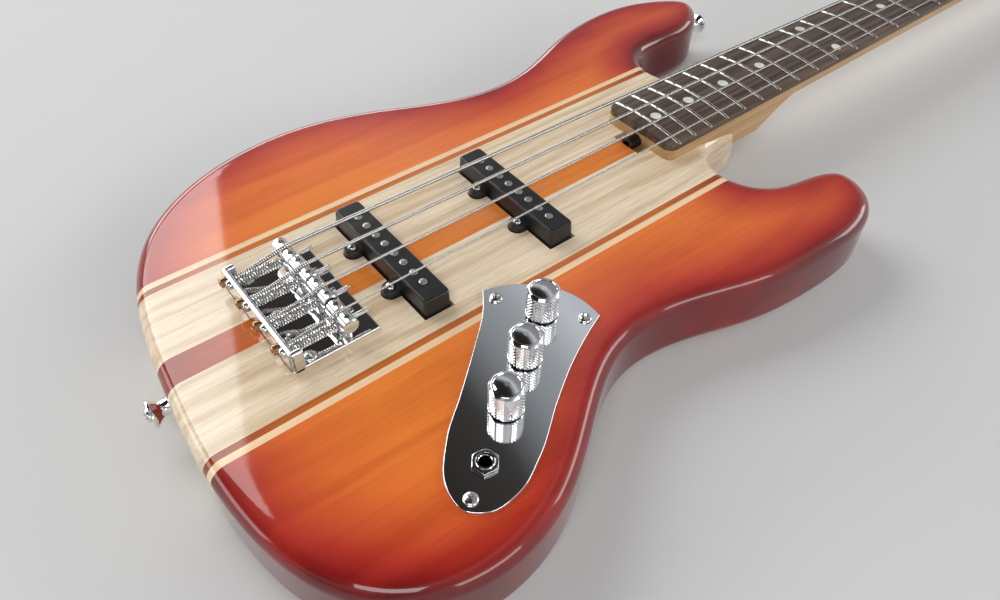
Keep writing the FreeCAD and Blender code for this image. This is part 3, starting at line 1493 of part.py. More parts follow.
def pickup_coil(name):
    """The winding: a long block with a slot that grips the pole pieces."""
    centre = f"{name}_pickup_centre"
    width = f"(cover_width - 2 * {COIL_INSET})"
    length = f"({name}_pickup_length - 2 * {COIL_INSET})"
    slot_length = "(3 * pole_spacing + 2 * pole_spread + 2 * pole_radius + 2 * fit_gap)"
    slot_width = "(2 * pole_radius + 2 * fit_gap)"
    block = box(f"{name}_winding", (width, length, "coil_height"),
                (f"{centre} - {width} / 2", f"-{length} / 2", f"{COIL_TOP} - coil_height"))
    slot = box(f"{name}_pole_slot", (slot_width, slot_length, "coil_height + 2 * overrun"),
               (f"{centre} - {slot_width} / 2", f"-{slot_length} / 2", f"{COIL_TOP} - coil_height - overrun"))
    return cut(f"{name}_coil", block, [slot])


foams = []
for name in PICKUPS:
    centre = f"{name}_pickup_centre"
    node(pickup_cover(name), f"{name}_pickup_cover")
    node(pickup_coil(name), f"{name}_pickup_coil")
    poles = [rod(f"{name}_pole_{number}", "pole_radius",
                 f"body_thickness + cover_top + pole_proud - {COIL_TOP} + coil_height",
                 (centre, side, f"{COIL_TOP} - coil_height")) for number, side in enumerate(pole_sides())]
    node(group(f"{name}_poles", poles), f"{name}_pickup_poles")
    pickup_screws = [screw(f"{name}_pickup_screw_{number}", "screw_radius", "pickup_screw_length",
                           "pickup_screw_head", (f"{centre} + {sign_x} * ear_reach", f"{sign_y} * ear_spread",
                                                 "body_thickness + ear_top"))
                     for number, (sign_x, sign_y) in enumerate(EAR_SIDES)]
    node(group(f"{name}_pickup_screw_set", pickup_screws), f"{name}_pickup_screws")
    foams.append(box(f"{name}_foam", ("foam_width", "foam_length",
                                      f"{COIL_TOP} - coil_height - body_thickness + rout_depth - fit_gap"),
                     (f"{centre} - foam_width / 2", "-foam_length / 2", "body_thickness - rout_depth")))
node(group("foams", foams), "pickup_foam")

# Controls: plate, potentiometers, nuts, knobs, jack and leads

# Points of the control plate's outline, as shares of its length from the tail and its width from outside.
PLATE_ROUND_SHARES = (
    (0.993, 0.518), (0.735, 0.379), (0.566, 0.257), (0.356, 0.086), (0.202, 0.004), (0.073, 0.008),
    (0.008, 0.072), (0.007, 0.192), (0.124, 0.389), (0.285, 0.544), (0.499, 0.757), (0.602, 0.866),
    (0.690, 1.000),
)
PLATE_HEAD_SHARES = ((0.690, 1.000), (0.876, 0.888), (0.960, 0.770), (0.993, 0.518))
PLATE_TOP = "(body_thickness + plate_thickness)"
KNOB_NAMES = ("knob_neck_volume", "knob_bridge_volume", "knob_tone")


def control_plate():
    """The flat plate, bored for the controls, the jack and its screws."""
    chain = []
    for shares in (PLATE_ROUND_SHARES, PLATE_HEAD_SHARES):
        points = outline_points(shares, S.plate_length, S.plate_width, -S.plate_tail, -S.plate_outer)
        chain += open_arcs(points)
    plan = shape("control_plan", Part.Face(closed_wire(chords(chain))))
    blank = extrude("control_blank", plan, "plate_thickness", "body_thickness")
    holes = []
    for index in range(CONTROL_COUNT):
        holes.append(rod(f"control_hole_{index}", "bushing_radius + fit_gap", "plate_thickness + 2 * overrun",
                         (*control_place(index), "body_thickness - overrun")))
    holes.append(rod("jack_hole", "jack_radius + fit_gap", "plate_thickness + 2 * overrun",
                     (*control_place(CONTROL_COUNT), "body_thickness - overrun")))
    for number, shares in enumerate(PLATE_SCREW_SHARES):
        holes.append(peg(f"plate_hole_{number}", "screw_radius + fit_gap", "plate_thickness + 2 * overrun",
                         (*plate_screw_place(*shares), "body_thickness - overrun")))
    return cut("control_plate_solid", blank, holes)


def potentiometer(index):
    """A potentiometer: a round can under the plate and a bushing through it."""
    at = control_place(index)
    blank = fuse(f"pot_blank_{index}", [
        rod(f"pot_can_{index}", "pot_radius", "pot_height", (*at, "body_thickness - pot_height")),
        rod(f"pot_bushing_{index}", "bushing_radius", "bushing_length", (*at, "body_thickness")),
    ])
    bore = shaft(f"pot_bore_{index}", "shaft_radius + fit_gap", "bushing_length + pot_height",
                 (*at, "body_thickness - pot_height / 2"))
    return cut(f"pot_{index}", blank, [bore])


def control_nut(index, radius):
    """A hexagon nut on the plate, round a bushing or the jack."""
    at = (*control_place(index), PLATE_TOP)
    blank = peg(f"nut_blank_{index}", "nut_across / 2 / cos(30)", "nut_thickness", at)
    bore = rod(f"nut_bore_{index}", f"{radius} + fit_gap", "nut_thickness", at)
    return cut(f"control_nut_{index}", blank, [bore])


def knob(index):
    """A turned knob with a chamfered top and a hollow that clears the nut, and the shaft that it sits on."""
    at = control_place(index)
    low = f"({PLATE_TOP} + knob_clearance)"
    shaft_top = f"({low} + knob_recess + shaft_grip)"
    blank = fuse(f"knob_blank_{index}", [
        rod(f"knob_drum_{index}", "knob_radius", "knob_height - knob_chamfer", (*at, low)),
        taper(f"knob_top_{index}", "knob_radius", "knob_radius - knob_chamfer", "knob_chamfer",
              (*at, f"{low} + knob_height - knob_chamfer")),
    ])
    hollows = [
        rod(f"knob_hollow_{index}", "knob_radius - knob_wall", "knob_recess", (*at, low)),
        rod(f"knob_bore_{index}", "shaft_radius + fit_gap", "knob_recess + shaft_grip + fit_gap", (*at, low)),
    ]
    shaft = rod(f"knob_shaft_{index}", "shaft_radius", f"{shaft_top} - body_thickness + pot_height / 3",
                (*at, "body_thickness - pot_height / 3"))
    return group(f"knob_{index}", [cut(f"knob_turned_{index}", blank, hollows), shaft])


def jack():
    """The output jack: a threaded barrel with a flange under the plate and one contact leaf."""
    at = control_place(CONTROL_COUNT)
    low = "(body_thickness + jack_proud - jack_length)"
    leaf_x = f"{at[0]} + jack_flange - 2 * plate_thickness"
    blank = fuse("jack_blank", [
        rod("jack_barrel", "jack_radius", "jack_length", (*at, low)),
        rod("jack_flange", "jack_flange", "plate_thickness", (*at, "body_thickness - plate_thickness")),
        box("jack_leaf", ("plate_thickness", "jack_bore", "cavity_depth - overrun"),
            (leaf_x, f"{at[1]} - jack_bore / 2", "body_thickness - cavity_depth + overrun")),
    ])
    bore = shaft("jack_bore", "jack_bore", "jack_length + 2 * overrun", (*at, f"{low} - overrun"))
    return cut("jack_solid", blank, [bore])


LEG_SHARE = 0.45


def lead_arcs(points):
    """A lead's course, with each turn as wide as its runs and the routs allow."""
    runs = [(second - first).Length for first, second in zip(points, points[1:])]
    legs = [min(LEG_SHARE * before, LEG_SHARE * after, S.cover_width / 2 - S.lead_radius)
            for before, after in zip(runs, runs[1:])]
    return cord_arcs(points, legs)


def leads():
    """The hook-up leads: from each pickup to its potentiometer, and from there to the jack."""
    level = S.body_thickness - S.lead_depth
    rise = S.lead_radius + S.fit_gap
    pot_level = S.body_thickness - S.pot_height - S.fit_gap
    jack_level = S.body_thickness - S.plate_thickness - S.fit_gap
    first, second, last = (control_point(index) for index in (1, 2, CONTROL_COUNT))
    first.x -= S.pot_radius / 3
    neck_course = [
        Vector(S.neck_pickup_centre, -S.channel_side, level + rise),
        Vector(S.bridge_pickup_centre, -S.channel_side, level + rise),
        Vector(S.bridge_pickup_centre, first.y, level + rise),
        Vector(first.x, first.y, level + rise),
        Vector(first.x, first.y, pot_level),
    ]
    bridge_course = [
        Vector(S.bridge_pickup_centre, -S.channel_side + S.channel_radius, level - rise),
        Vector(S.bridge_pickup_centre, second.y, level - rise),
        Vector(second.x + S.pot_radius / 3, second.y, level - rise),
        Vector(second.x + S.pot_radius / 3, second.y, pot_level),
    ]
    flange_middle = (S.jack_radius + S.jack_flange) / 2
    jack_course = [
        Vector(second.x - S.pot_radius / 3, second.y, pot_level),
        Vector(second.x - S.pot_radius / 3, second.y, level - 2 * rise),
        Vector(last.x, last.y + flange_middle, level - 2 * rise),
        Vector(last.x, last.y + flange_middle, jack_level),
    ]
    tubes = []
    for course in (neck_course, bridge_course, jack_course):
        first_way = (course[1] - course[0]).normalize()
        tubes.append(pipe(S.lead_radius, lead_arcs(course), first_way, WIRE_SIDES))
    return tubes


node(control_plate(), "control_plate")
node(group("pots", [potentiometer(index) for index in range(CONTROL_COUNT)]), "potentiometers")
node(group("nuts", [control_nut(index, "bushing_radius") for index in range(CONTROL_COUNT)]
           + [control_nut(CONTROL_COUNT, "jack_radius")]), "control_nuts")
for index, name in enumerate(KNOB_NAMES):
    node(knob(index), name)
node(jack(), "jack")
node(shape("lead_set", Part.makeCompound(leads())), "hookup_leads")

# Check every item, then write each sub-part to its own file

doc.recompute()
for item in doc.Objects:
    if "Invalid" in item.State or "Error" in item.State:
        raise RuntimeError(f"{item.Name} did not build")
os.makedirs("parts", exist_ok=True)
for item in NODES:
    if item.Shape.isNull() or not item.Shape.isValid():
        raise RuntimeError(f"{item.Label} has no valid shape")
    item.Shape.exportStep(f"parts/{item.Label}.step")
print(len(NODES), "sub-parts written")
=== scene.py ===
import json
import logging
import math
from dataclasses import dataclass
from enum import Enum
from typing import Callable, Iterable, Sequence

import bmesh
import bpy
import numpy as np
from mathutils import Matrix, Vector
from mathutils.geometry import delaunay_2d_cdt

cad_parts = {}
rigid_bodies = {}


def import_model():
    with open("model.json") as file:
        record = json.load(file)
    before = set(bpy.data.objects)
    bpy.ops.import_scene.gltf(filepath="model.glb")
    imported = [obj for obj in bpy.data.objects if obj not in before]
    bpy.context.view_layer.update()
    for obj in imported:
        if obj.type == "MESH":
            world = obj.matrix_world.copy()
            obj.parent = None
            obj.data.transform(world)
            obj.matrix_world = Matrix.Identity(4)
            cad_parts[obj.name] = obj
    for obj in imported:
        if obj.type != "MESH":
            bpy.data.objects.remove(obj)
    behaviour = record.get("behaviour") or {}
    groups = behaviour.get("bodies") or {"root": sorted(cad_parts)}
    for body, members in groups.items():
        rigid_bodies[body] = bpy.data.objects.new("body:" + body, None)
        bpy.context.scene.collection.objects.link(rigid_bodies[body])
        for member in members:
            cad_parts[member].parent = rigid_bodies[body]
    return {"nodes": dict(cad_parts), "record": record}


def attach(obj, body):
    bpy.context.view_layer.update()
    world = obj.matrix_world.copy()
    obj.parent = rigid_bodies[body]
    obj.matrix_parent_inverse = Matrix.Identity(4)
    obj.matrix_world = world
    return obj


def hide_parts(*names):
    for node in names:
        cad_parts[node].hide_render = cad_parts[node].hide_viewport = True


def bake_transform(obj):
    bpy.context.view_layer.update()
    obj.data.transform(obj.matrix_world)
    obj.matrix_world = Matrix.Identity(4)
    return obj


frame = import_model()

# The looks of a four-string electric bass guitar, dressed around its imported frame.
# +X runs along the neck, +Y to the bass side and +Z out of the front.
# Sizes are in millimetres until a mesh is made.

LEFTOVERS = ("Cube", "Light", "Camera")
for leftover in [item for item in bpy.data.objects if item.name in LEFTOVERS]:
    bpy.data.objects.remove(leftover)
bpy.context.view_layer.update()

log = logging.getLogger("bass_guitar")
MM = 0.001
BODY_OF = {node: body for body, nodes in frame["record"]["behaviour"]["bodies"].items() for node in nodes}
# The strings are numbered from the bass side.
STRING_NAMES = ("e", "a", "d", "g")
STRINGS = range(len(STRING_NAMES))
STRING_SHARES = (1.5, 0.5, -0.5, -1.5)
WELD_GAP = 0.004
FLAT_ANGLE = 1.0
SAME_POINT = 1e-4
FILL_INSIDE = 1
FILL_TOLERANCE = 1e-6
CORNER_LIMIT_SHARE = 0.49

Colour = tuple[float, float, float]
Place = tuple[float, float, float]
Spot = tuple[float, float]
Profile = Sequence[Spot]
Mesh = bpy.types.Mesh
Node = bpy.types.Node
Piece = bpy.types.Object
Socket = bpy.types.NodeSocket


class Slot(Enum):
    """The record's material slots."""

    STAINED_WOOD = "stained_wood"
    CENTRE_WOOD = "centre_wood"
    ASH = "ash"
    DARK_WOOD = "dark_wood"
    PALE_WOOD = "pale_wood"
    MAPLE = "maple"
    ROSEWOOD = "rosewood"
    NICKEL = "nickel"
    NUT_BONE = "nut_bone"
    DOT_PEARL = "dot_pearl"
    CHROME = "chrome"
    SCREW_STEEL = "screw_steel"
    PICKUP_BLACK = "pickup_black"
    COIL_COPPER = "coil_copper"
    FOAM = "foam"
    POT_METAL = "pot_metal"
    STRING_WIRE = "string_wire"
    LEAD_INSULATION = "lead_insulation"


class Axis(Enum):
    """Ways that a turned piece can point, as the direction of its length."""

    X = (1.0, 0.0, 0.0)
    MINUS_X = (-1.0, 0.0, 0.0)
    Y = (0.0, 1.0, 0.0)
    Z = (0.0, 0.0, 1.0)
    MINUS_Z = (0.0, 0.0, -1.0)


def screen(red: int, green: int, blue: int) -> Colour:
    """A screen's colour, from 0 to 255 each, in the renderer's linear values."""
    shares = (red / 255, green / 255, blue / 255)
    return tuple(v / 12.92 if v <= 0.04045 else ((v + 0.055) / 1.055) ** 2.4 for v in shares)


class NodeSheet:
    """A node tree with short calls that add and join nodes."""

    def __init__(self, tree: bpy.types.NodeTree) -> None:
        """Takes the tree that the nodes go in."""
        self.tree = tree

    def feed(self, node: Node, inputs: dict[str | int, object]) -> None:
        """Gives a node's inputs values, or joins them to other nodes' outputs.

        Args:
            node: The node.
            inputs: A value or an output for each input, by name or number.
        """
        for name, source in inputs.items():
            if isinstance(source, Socket):
                self.tree.links.new(source, node.inputs[name])
            else:
                node.inputs[name].default_value = source

    def add(self, kind: str, inputs: dict[str | int, object] | None = None, **settings: object) -> Node:
        """Adds a node.

        Args:
            kind: The node's type.
            inputs: What its inputs get, by name or number.
            settings: Properties of the node.

        Returns:
            The new node.
        """
        made = self.tree.nodes.new(kind)
        for name, value in settings.items():
            setattr(made, name, value)
        self.feed(made, inputs or {})
        return made

    def place(self) -> Socket:
        """The point that is shaded, in the piece's own frame."""
        return self.add("ShaderNodeTexCoord").outputs["Object"]

    def stored(self, name: str) -> Socket:
        """A value that the mesh stores at its points."""
        return self.add("ShaderNodeAttribute", attribute_name=name).outputs["Fac"]

    def math(self, operation: str, first: object, second: object = 0.0) -> Socket:
        """A sum, product or other operation on two values."""
        return self.add("ShaderNodeMath", {0: first, 1: second}, operation=operation).outputs[0]

    def dot(self, vector: Socket, way: Sequence[float]) -> Socket:
        """How far a vector reaches along a fixed direction."""
        return self.add("ShaderNodeVectorMath", {0: vector, 1: way}, operation="DOT_PRODUCT").outputs["Value"]

    def noise(self, vector: Socket, scale: float, detail: float) -> Socket:
        """A soft noise value from 0 to 1."""
        values = {"Vector": vector, "Scale": scale, "Detail": detail}
        return self.add("ShaderNodeTexNoise", values).outputs["Fac"]

    def cells(self, vector: Socket, counts: Place, detail: float) -> Socket:
        """Noise with its own count of cells to the metre along each axis."""
        stretched = self.add("ShaderNodeVectorMath", {0: vector, 1: counts}, operation="MULTIPLY")
        return self.noise(stretched.outputs[0], 1.0, detail)

    def spread(self, value: Socket, low: float, high: float) -> Socket:
        """A value stretched so that low gives 0 and high gives 1, held between them."""
        limits = {"Value": value, "From Min": low, "From Max": high}
        return self.add("ShaderNodeMapRange", limits, clamp=True).outputs["Result"]

    def mix(self, share: object, first: object, second: object, blend: str = "MIX") -> Socket:
        """A mix of two colours.

        Args:
            share: How much of the second colour shows.
            first: The first colour.
            second: The second colour.
            blend: The way that the colours mix.

        Returns:
            The mixed colour.
        """
        made = self.add("ShaderNodeMix", {"Factor": share}, data_type="RGBA", blend_type=blend)
        for name, source in (("A", first), ("B", second)):
            number = next(k for k, s in enumerate(made.inputs) if s.name == name and s.type == "RGBA")
            self.feed(made, {number: source if isinstance(source, Socket) else (*source, 1.0)})
        return next(s for s in made.outputs if s.type == "RGBA")

    def ramp(self, value: Socket, stops: Sequence[tuple[float, Colour]]) -> Socket:
        """A colour picked along a row of stops.

        Args:
            value: The place along the row.
            stops: Each stop's place and colour.

        Returns:
            The colour.
        """
        made = self.add("ShaderNodeValToRGB", {"Fac": value})
        elements = made.color_ramp.elements
        while len(elements) < len(stops):
            elements.new(1.0)
        for element, (place, colour) in zip(elements, stops):
            element.position = place
            element.color = (*colour, 1.0)
        return made.outputs["Color"]

    def bump(self, height: Socket, distance: float) -> Socket:
        """A normal tilted by a height map, with its depth in metres."""
        return self.add("ShaderNodeBump", {"Height": height, "Distance": distance}).outputs["Normal"]


def effect(name: str, inputs: dict[str, float], outputs: Sequence[str],
           fill: Callable[[NodeSheet, Node, Node], None]) -> bpy.types.NodeTree:
    """A shader node group that several finishes share, made once.

    Args:
        name: The group's name.
        inputs: Names and first values of its inputs.
        outputs: Names of its value outputs.
        fill: Builds the nodes between the group's input and output nodes.

    Returns:
        The node group.
    """
    tree = bpy.data.node_groups.get(name)
    if tree is None:
        tree = bpy.data.node_groups.new(name, "ShaderNodeTree")
        for label, value in inputs.items():
            socket = tree.interface.new_socket(label, in_out="INPUT", socket_type="NodeSocketFloat")
            socket.default_value = value
        for label in outputs:
            tree.interface.new_socket(label, in_out="OUTPUT", socket_type="NodeSocketFloat")
        sheet = NodeSheet(tree)
        fill(sheet, sheet.add("NodeGroupInput"), sheet.add("NodeGroupOutput"))
    return tree


# Noise cells to the metre along each axis, and the range of each noise that shows.
WANDER_CELLS = (3.2, 24.0, 24.0)
STREAK_CELLS = (7.0, 420.0, 420.0)
STREAK_RANGE = (0.36, 0.66)
PORE_CELLS = (60.0, 1900.0, 1900.0)
PORE_RANGE = (0.56, 0.68)
RING_LEAN = 0.35
RING_SHARPNESS = 2.2
SMEAR_CELLS = (60.0, 90.0, 60.0)
SCRATCH_CELLS = (900.0, 2600.0, 900.0)
SMEAR_SHARE = 0.7
LEAST_ROUGHNESS = 0.02


def fill_wood_grain(sheet: NodeSheet, given: Node, result: Node) -> None:
    """Growth rings drawn out along the wood, with fine streaks and short pores.

    Args:
        sheet: The group's nodes.
        given: Rings per metre and how far they wander, in metres.
        result: Rings, streaks and pores, each from 0 to 1.
    """
    coordinate = sheet.place()
    wander = sheet.cells(coordinate, WANDER_CELLS, detail=3.0)
    parts = sheet.add("ShaderNodeSeparateXYZ", {0: coordinate}).outputs
    depth = sheet.math("ADD", parts["Y"], sheet.math("MULTIPLY", parts["Z"], RING_LEAN))
    shifted = sheet.math("ADD", depth, sheet.math("MULTIPLY", wander, given.outputs["Wander"]))
    phase = sheet.math("MULTIPLY", shifted, sheet.math("MULTIPLY", given.outputs["Rings"], math.tau))
    wave = sheet.math("MULTIPLY", sheet.math("ADD", sheet.math("SINE", phase), 1.0), 0.5)
    streak = sheet.cells(coordinate, STREAK_CELLS, detail=4.0)
    pore = sheet.cells(coordinate, PORE_CELLS, detail=2.0)
    sheet.feed(result, {"Rings": sheet.math("POWER", wave, RING_SHARPNESS),
                        "Streaks": sheet.spread(streak, *STREAK_RANGE),
                        "Pores": sheet.spread(pore, *PORE_RANGE)})


def fill_polish_marks(sheet: NodeSheet, given: Node, result: Node) -> None:
    """Roughness that varies with faint smears and fine scratches.

    Args:
        sheet: The group's nodes.
        given: The plain roughness and how much it varies.
        result: The varied roughness and a fine height.
    """
    coordinate = sheet.place()
    smear = sheet.math("MULTIPLY", sheet.cells(coordinate, SMEAR_CELLS, detail=4.0), SMEAR_SHARE)
    fine = sheet.cells(coordinate, SCRATCH_CELLS, detail=2.0)
    mixed = sheet.math("ADD", smear, sheet.math("MULTIPLY", fine, 1 - SMEAR_SHARE))
    varied = sheet.math("MULTIPLY", sheet.math("SUBTRACT", mixed, 0.5), given.outputs["Variation"])
    rough = sheet.math("ADD", given.outputs["Roughness"], varied)
    sheet.feed(result, {"Roughness": sheet.math("MAXIMUM", rough, LEAST_ROUGHNESS), "Height": fine})


def wood_grain() -> bpy.types.NodeTree:
    """The group that draws wood grain."""
    inputs, outputs = {"Rings": 90.0, "Wander": 0.03}, ("Rings", "Streaks", "Pores")
    return effect("wood_grain", inputs, outputs, fill_wood_grain)


def polish_marks(sheet: NodeSheet, roughness: float, variation: float) -> Node:
    """Places the group that varies a polish in a material.

    Args:
        sheet: The material's nodes.
        roughness: The plain roughness.
        variation: How much it varies.

    Returns:
        The group's node.
    """
    inputs = {"Roughness": 0.2, "Variation": 0.1}
    tree = effect("polish_marks", inputs, ("Roughness", "Height"), fill_polish_marks)
    return sheet.add("ShaderNodeGroup", {"Roughness": roughness, "Variation": variation}, node_tree=tree)


@dataclass(frozen=True)
class Finish:
    """What every finish has: a name, the record's slot and a plain colour."""

    name: str
    slot: Slot
    colour: Colour

    def material(self) -> bpy.types.Material:
        """The finish as a material, made once.

        Returns:
            The material.
        """
        made = bpy.data.materials.get(self.name)
        if made is None:
            made = bpy.data.materials.new(self.name)
            made.use_nodes = True
            self.draw(NodeSheet(made.node_tree), made.node_tree.nodes["Principled BSDF"])
        return made

    def draw(self, sheet: NodeSheet, shader: Node) -> None:
        """Sets the shader's sockets; each kind of finish has its own way.

        Args:
            sheet: The material's nodes.
            shader: The material's shader.
        """
        raise NotImplementedError


@dataclass(frozen=True)
class Timber(Finish):
    """Wood with grain under a clear coat."""

    grain_colour: Colour = (0.2, 0.1, 0.05)
    rings_per_metre: float = 90.0
    wander: float = 0.03
    ring_share: float = 0.35
    streak_share: float = 0.35
    pore_share: float = 0.4
    roughness: float = 0.32
    specular: float = 0.1
    coat: float = 1.0
    coat_roughness: float = 0.05
    pore_depth: float = 0.0

    def ground(self, sheet: NodeSheet) -> object:
        """The colour of the wood before its grain."""
        return self.colour

    def draw(self, sheet: NodeSheet, shader: Node) -> None:
        """Lays grain over the ground colour and coats it."""
        values = {"Rings": self.rings_per_metre, "Wander": self.wander}
        grain = sheet.add("ShaderNodeGroup", values, node_tree=wood_grain()).outputs
        colour = self.ground(sheet)
        shares = {"Rings": self.ring_share, "Streaks": self.streak_share, "Pores": self.pore_share}
        for label, share in shares.items():
            weight = sheet.math("MULTIPLY", grain[label], share)
            colour = sheet.mix(weight, colour, sheet.mix(1.0, colour, self.grain_colour, blend="MULTIPLY"))
        sheet.feed(shader, {"Base Color": colour, "Roughness": self.roughness,
                            "Specular IOR Level": self.specular, "Coat Weight": self.coat,
                            "Coat Roughness": self.coat_roughness})
        if self.pore_depth:
            height = sheet.math("SUBTRACT", 1.0, grain["Pores"])
            sheet.feed(shader, {"Normal": sheet.bump(height, self.pore_depth)})


@dataclass(frozen=True)
class BurstTimber(Timber):
    """Stained wood that darkens towards the body's edge."""

    stops: tuple[tuple[float, Colour], ...] = ()
    reach: float = 80.0
    cloud_scale: float = 14.0
    cloud_reach: float = 22.0

    def ground(self, sheet: NodeSheet) -> object:
        """The stain's colour at a distance from the outline, a little uneven.

        Args:
            sheet: The material's nodes.

        Returns:
            The colour's output.
        """
        cloud = sheet.noise(sheet.place(), self.cloud_scale, detail=2.0)
        uneven = sheet.math("MULTIPLY", sheet.math("SUBTRACT", cloud, 0.5), self.cloud_reach * MM)
        distance = sheet.math("ADD", sheet.stored("edge_distance"), uneven)
        return sheet.ramp(sheet.spread(distance, 0.0, self.reach * MM), self.stops)


@dataclass(frozen=True)
class Metal(Finish):
    """A plated, polished or drawn metal."""

    roughness: float = 0.08
    variation: float = 0.06

    def draw(self, sheet: NodeSheet, shader: Node) -> None:
        """Sets a bare metal with faint marks in its polish."""
        rough = polish_marks(sheet, self.roughness, self.variation).outputs["Roughness"]
        sheet.feed(shader, {"Base Color": (*self.colour, 1.0), "Metallic": 1.0, "Roughness": rough})


@dataclass(frozen=True)
class WoundWire(Metal):
    """A string's wrap wire, whose turns follow the string, with painted shade darkening the grooves between
    turns.
    """

    wrap_depth: float = 0.2
    # Painted shade in the grooves between turns: the share of the metal's colour left there, and the range
    # over which it fades in.
    groove_shade_share: float = 0.05
    groove_shade_range: Spot = (0.15, 0.75)

    def draw(self, sheet: NodeSheet, shader: Node) -> None:
        """Adds the wrap's turns to the metal as bumps, with painted shade that darkens the grooves between
        them.
        """
        Metal.draw(self, sheet, shader)
        phase = sheet.math("MULTIPLY", sheet.stored("along"), math.pi)
        turns = sheet.math("ABSOLUTE", sheet.math("SINE", phase))
        # Painted shade: the metal's colour darkened where the grooves between turns lie.
        dark = tuple(v * self.groove_shade_share for v in self.colour)
        colour = sheet.mix(sheet.spread(turns, *self.groove_shade_range), dark, self.colour)
        sheet.feed(shader, {"Base Color": colour, "Normal": sheet.bump(turns, self.wrap_depth * MM)})


@dataclass(frozen=True)
class Moulding(Finish):
    """Plastic, bone, foam or insulation, with a fine tooth and a slightly uneven colour."""

    second_colour: Colour = (0.1, 0.1, 0.1)
    roughness: float = 0.4
    variation: float = 0.12
    cloud_scale: float = 120.0
    cloud_range: Spot = (0.35, 0.65)
    tooth_depth: float = 0.02

    def draw(self, sheet: NodeSheet, shader: Node) -> None:
        """Clouds the colour and roughens the surface."""
        marks = polish_marks(sheet, self.roughness, self.variation).outputs
        cloud = sheet.spread(sheet.noise(sheet.place(), self.cloud_scale, detail=3.0), *self.cloud_range)
        tooth = sheet.bump(marks["Height"], self.tooth_depth * MM)
        sheet.feed(shader, {"Base Color": sheet.mix(cloud, self.colour, self.second_colour),
                            "Roughness": marks["Roughness"], "Normal": tooth})


BURST_STOPS = (
    (0.00, screen(104, 19, 20)),
    (0.07, screen(150, 33, 30)),
    (0.17, screen(184, 55, 39)),
    (0.32, screen(208, 86, 45)),
    (0.56, screen(230, 116, 51)),
    (1.00, screen(242, 136, 58)),
)
STRIPE_STOPS = (
    (0.00, screen(150, 52, 38)),
    (0.45, screen(188, 84, 46)),
    (1.00, screen(232, 136, 50)),
)
DARK_STOPS = (
    (0.00, screen(152, 58, 34)),
    (0.50, screen(192, 98, 44)),
    (1.00, screen(214, 124, 52)),
)


class Finishes:
    """Every finish on the instrument."""

    burst = BurstTimber("burst_lacquer", Slot.STAINED_WOOD, screen(226, 118, 42),
                        grain_colour=screen(196, 132, 104), rings_per_metre=34.0, wander=0.09,
                        ring_share=0.24, streak_share=0.16, pore_share=0.12, stops=BURST_STOPS, reach=82.0)
    centre = BurstTimber("centre_stripe_lacquer", Slot.CENTRE_WOOD, screen(214, 112, 34),
                         grain_colour=screen(206, 156, 124), rings_per_metre=60.0, ring_share=0.15,
                         streak_share=0.2, stops=STRIPE_STOPS, reach=70.0)
    dark = BurstTimber("dark_stripe_lacquer", Slot.DARK_WOOD, screen(176, 92, 34),
                       grain_colour=screen(170, 110, 80), rings_per_metre=60.0, ring_share=0.2,
                       stops=DARK_STOPS, reach=60.0)
    ash = Timber("ash_lacquer", Slot.ASH, screen(246, 228, 200), grain_colour=screen(212, 194, 170),
                 rings_per_metre=64.0, wander=0.07, ring_share=0.45, streak_share=0.42, pore_share=0.5)
    pale = Timber("pale_stripe_lacquer", Slot.PALE_WOOD, screen(250, 218, 178),
                  grain_colour=screen(232, 206, 172), ring_share=0.2, streak_share=0.3, pore_share=0.1)
    maple = Timber("maple_satin", Slot.MAPLE, screen(200, 166, 116), grain_colour=screen(206, 172, 134),
                   rings_per_metre=50.0, ring_share=0.35, streak_share=0.4, pore_share=0.15, roughness=0.42,
                   specular=0.4, coat=0.35, coat_roughness=0.25)
    rosewood = Timber("rosewood_oiled", Slot.ROSEWOOD, screen(112, 92, 78), grain_colour=screen(120, 104, 94),
                      rings_per_metre=120.0, wander=0.04, ring_share=0.6, streak_share=0.75, pore_share=0.7,
                      roughness=0.5, specular=0.4, coat=0.1, coat_roughness=0.4, pore_depth=0.00012)
    chrome = Metal("mirror_chrome", Slot.CHROME, (0.82, 0.83, 0.84), roughness=0.05, variation=0.03)
    steel = Metal("screw_steel_polished", Slot.SCREW_STEEL, (0.66, 0.65, 0.63), roughness=0.18, variation=0.1)
    nickel = Metal("fret_nickel", Slot.NICKEL, (0.72, 0.70, 0.65), roughness=0.16, variation=0.08)
    pot = Metal("pot_tin", Slot.POT_METAL, (0.5, 0.5, 0.47), roughness=0.35, variation=0.2)
    wire = WoundWire("string_wrap", Slot.STRING_WIRE, (0.70, 0.69, 0.66), roughness=0.2, variation=0.08)
    oxide = Metal("black_oxide", Slot.SCREW_STEEL, (0.06, 0.06, 0.06), roughness=0.3, variation=0.2)
    brass = Metal("ball_brass", Slot.STRING_WIRE, screen(178, 138, 102), roughness=0.24, variation=0.12)
    pole = Metal("pole_iron", Slot.SCREW_STEEL, (0.50, 0.49, 0.48), roughness=0.3, variation=0.2)
    copper = Metal("coil_wire", Slot.COIL_COPPER, (0.6, 0.28, 0.16), roughness=0.35, variation=0.2)
    black = Moulding("pickup_black_satin", Slot.PICKUP_BLACK, screen(24, 23, 24),
                     second_colour=screen(30, 29, 30), roughness=0.34)
    bone = Moulding("nut_bone", Slot.NUT_BONE, screen(226, 216, 190), second_colour=screen(214, 202, 172),
                    roughness=0.35)
    pearl = Moulding("dot_pearl", Slot.DOT_PEARL, screen(206, 206, 200), second_colour=screen(176, 178, 176),
                     roughness=0.2, cloud_scale=300.0)
    foam = Moulding("foam_grey", Slot.FOAM, screen(60, 60, 62), second_colour=screen(40, 40, 42),
                    roughness=0.9)
    insulation = Moulding("lead_insulation_black", Slot.LEAD_INSULATION, screen(28, 28, 30),
                          second_colour=screen(36, 36, 38), roughness=0.45)


@dataclass(frozen=True)
class Edges:
    """How a piece's edges are softened and shaded."""

    width: float = 0.3
    segments: int = 2
    angle: float = 32.0
    smooth_angle: float = 40.0


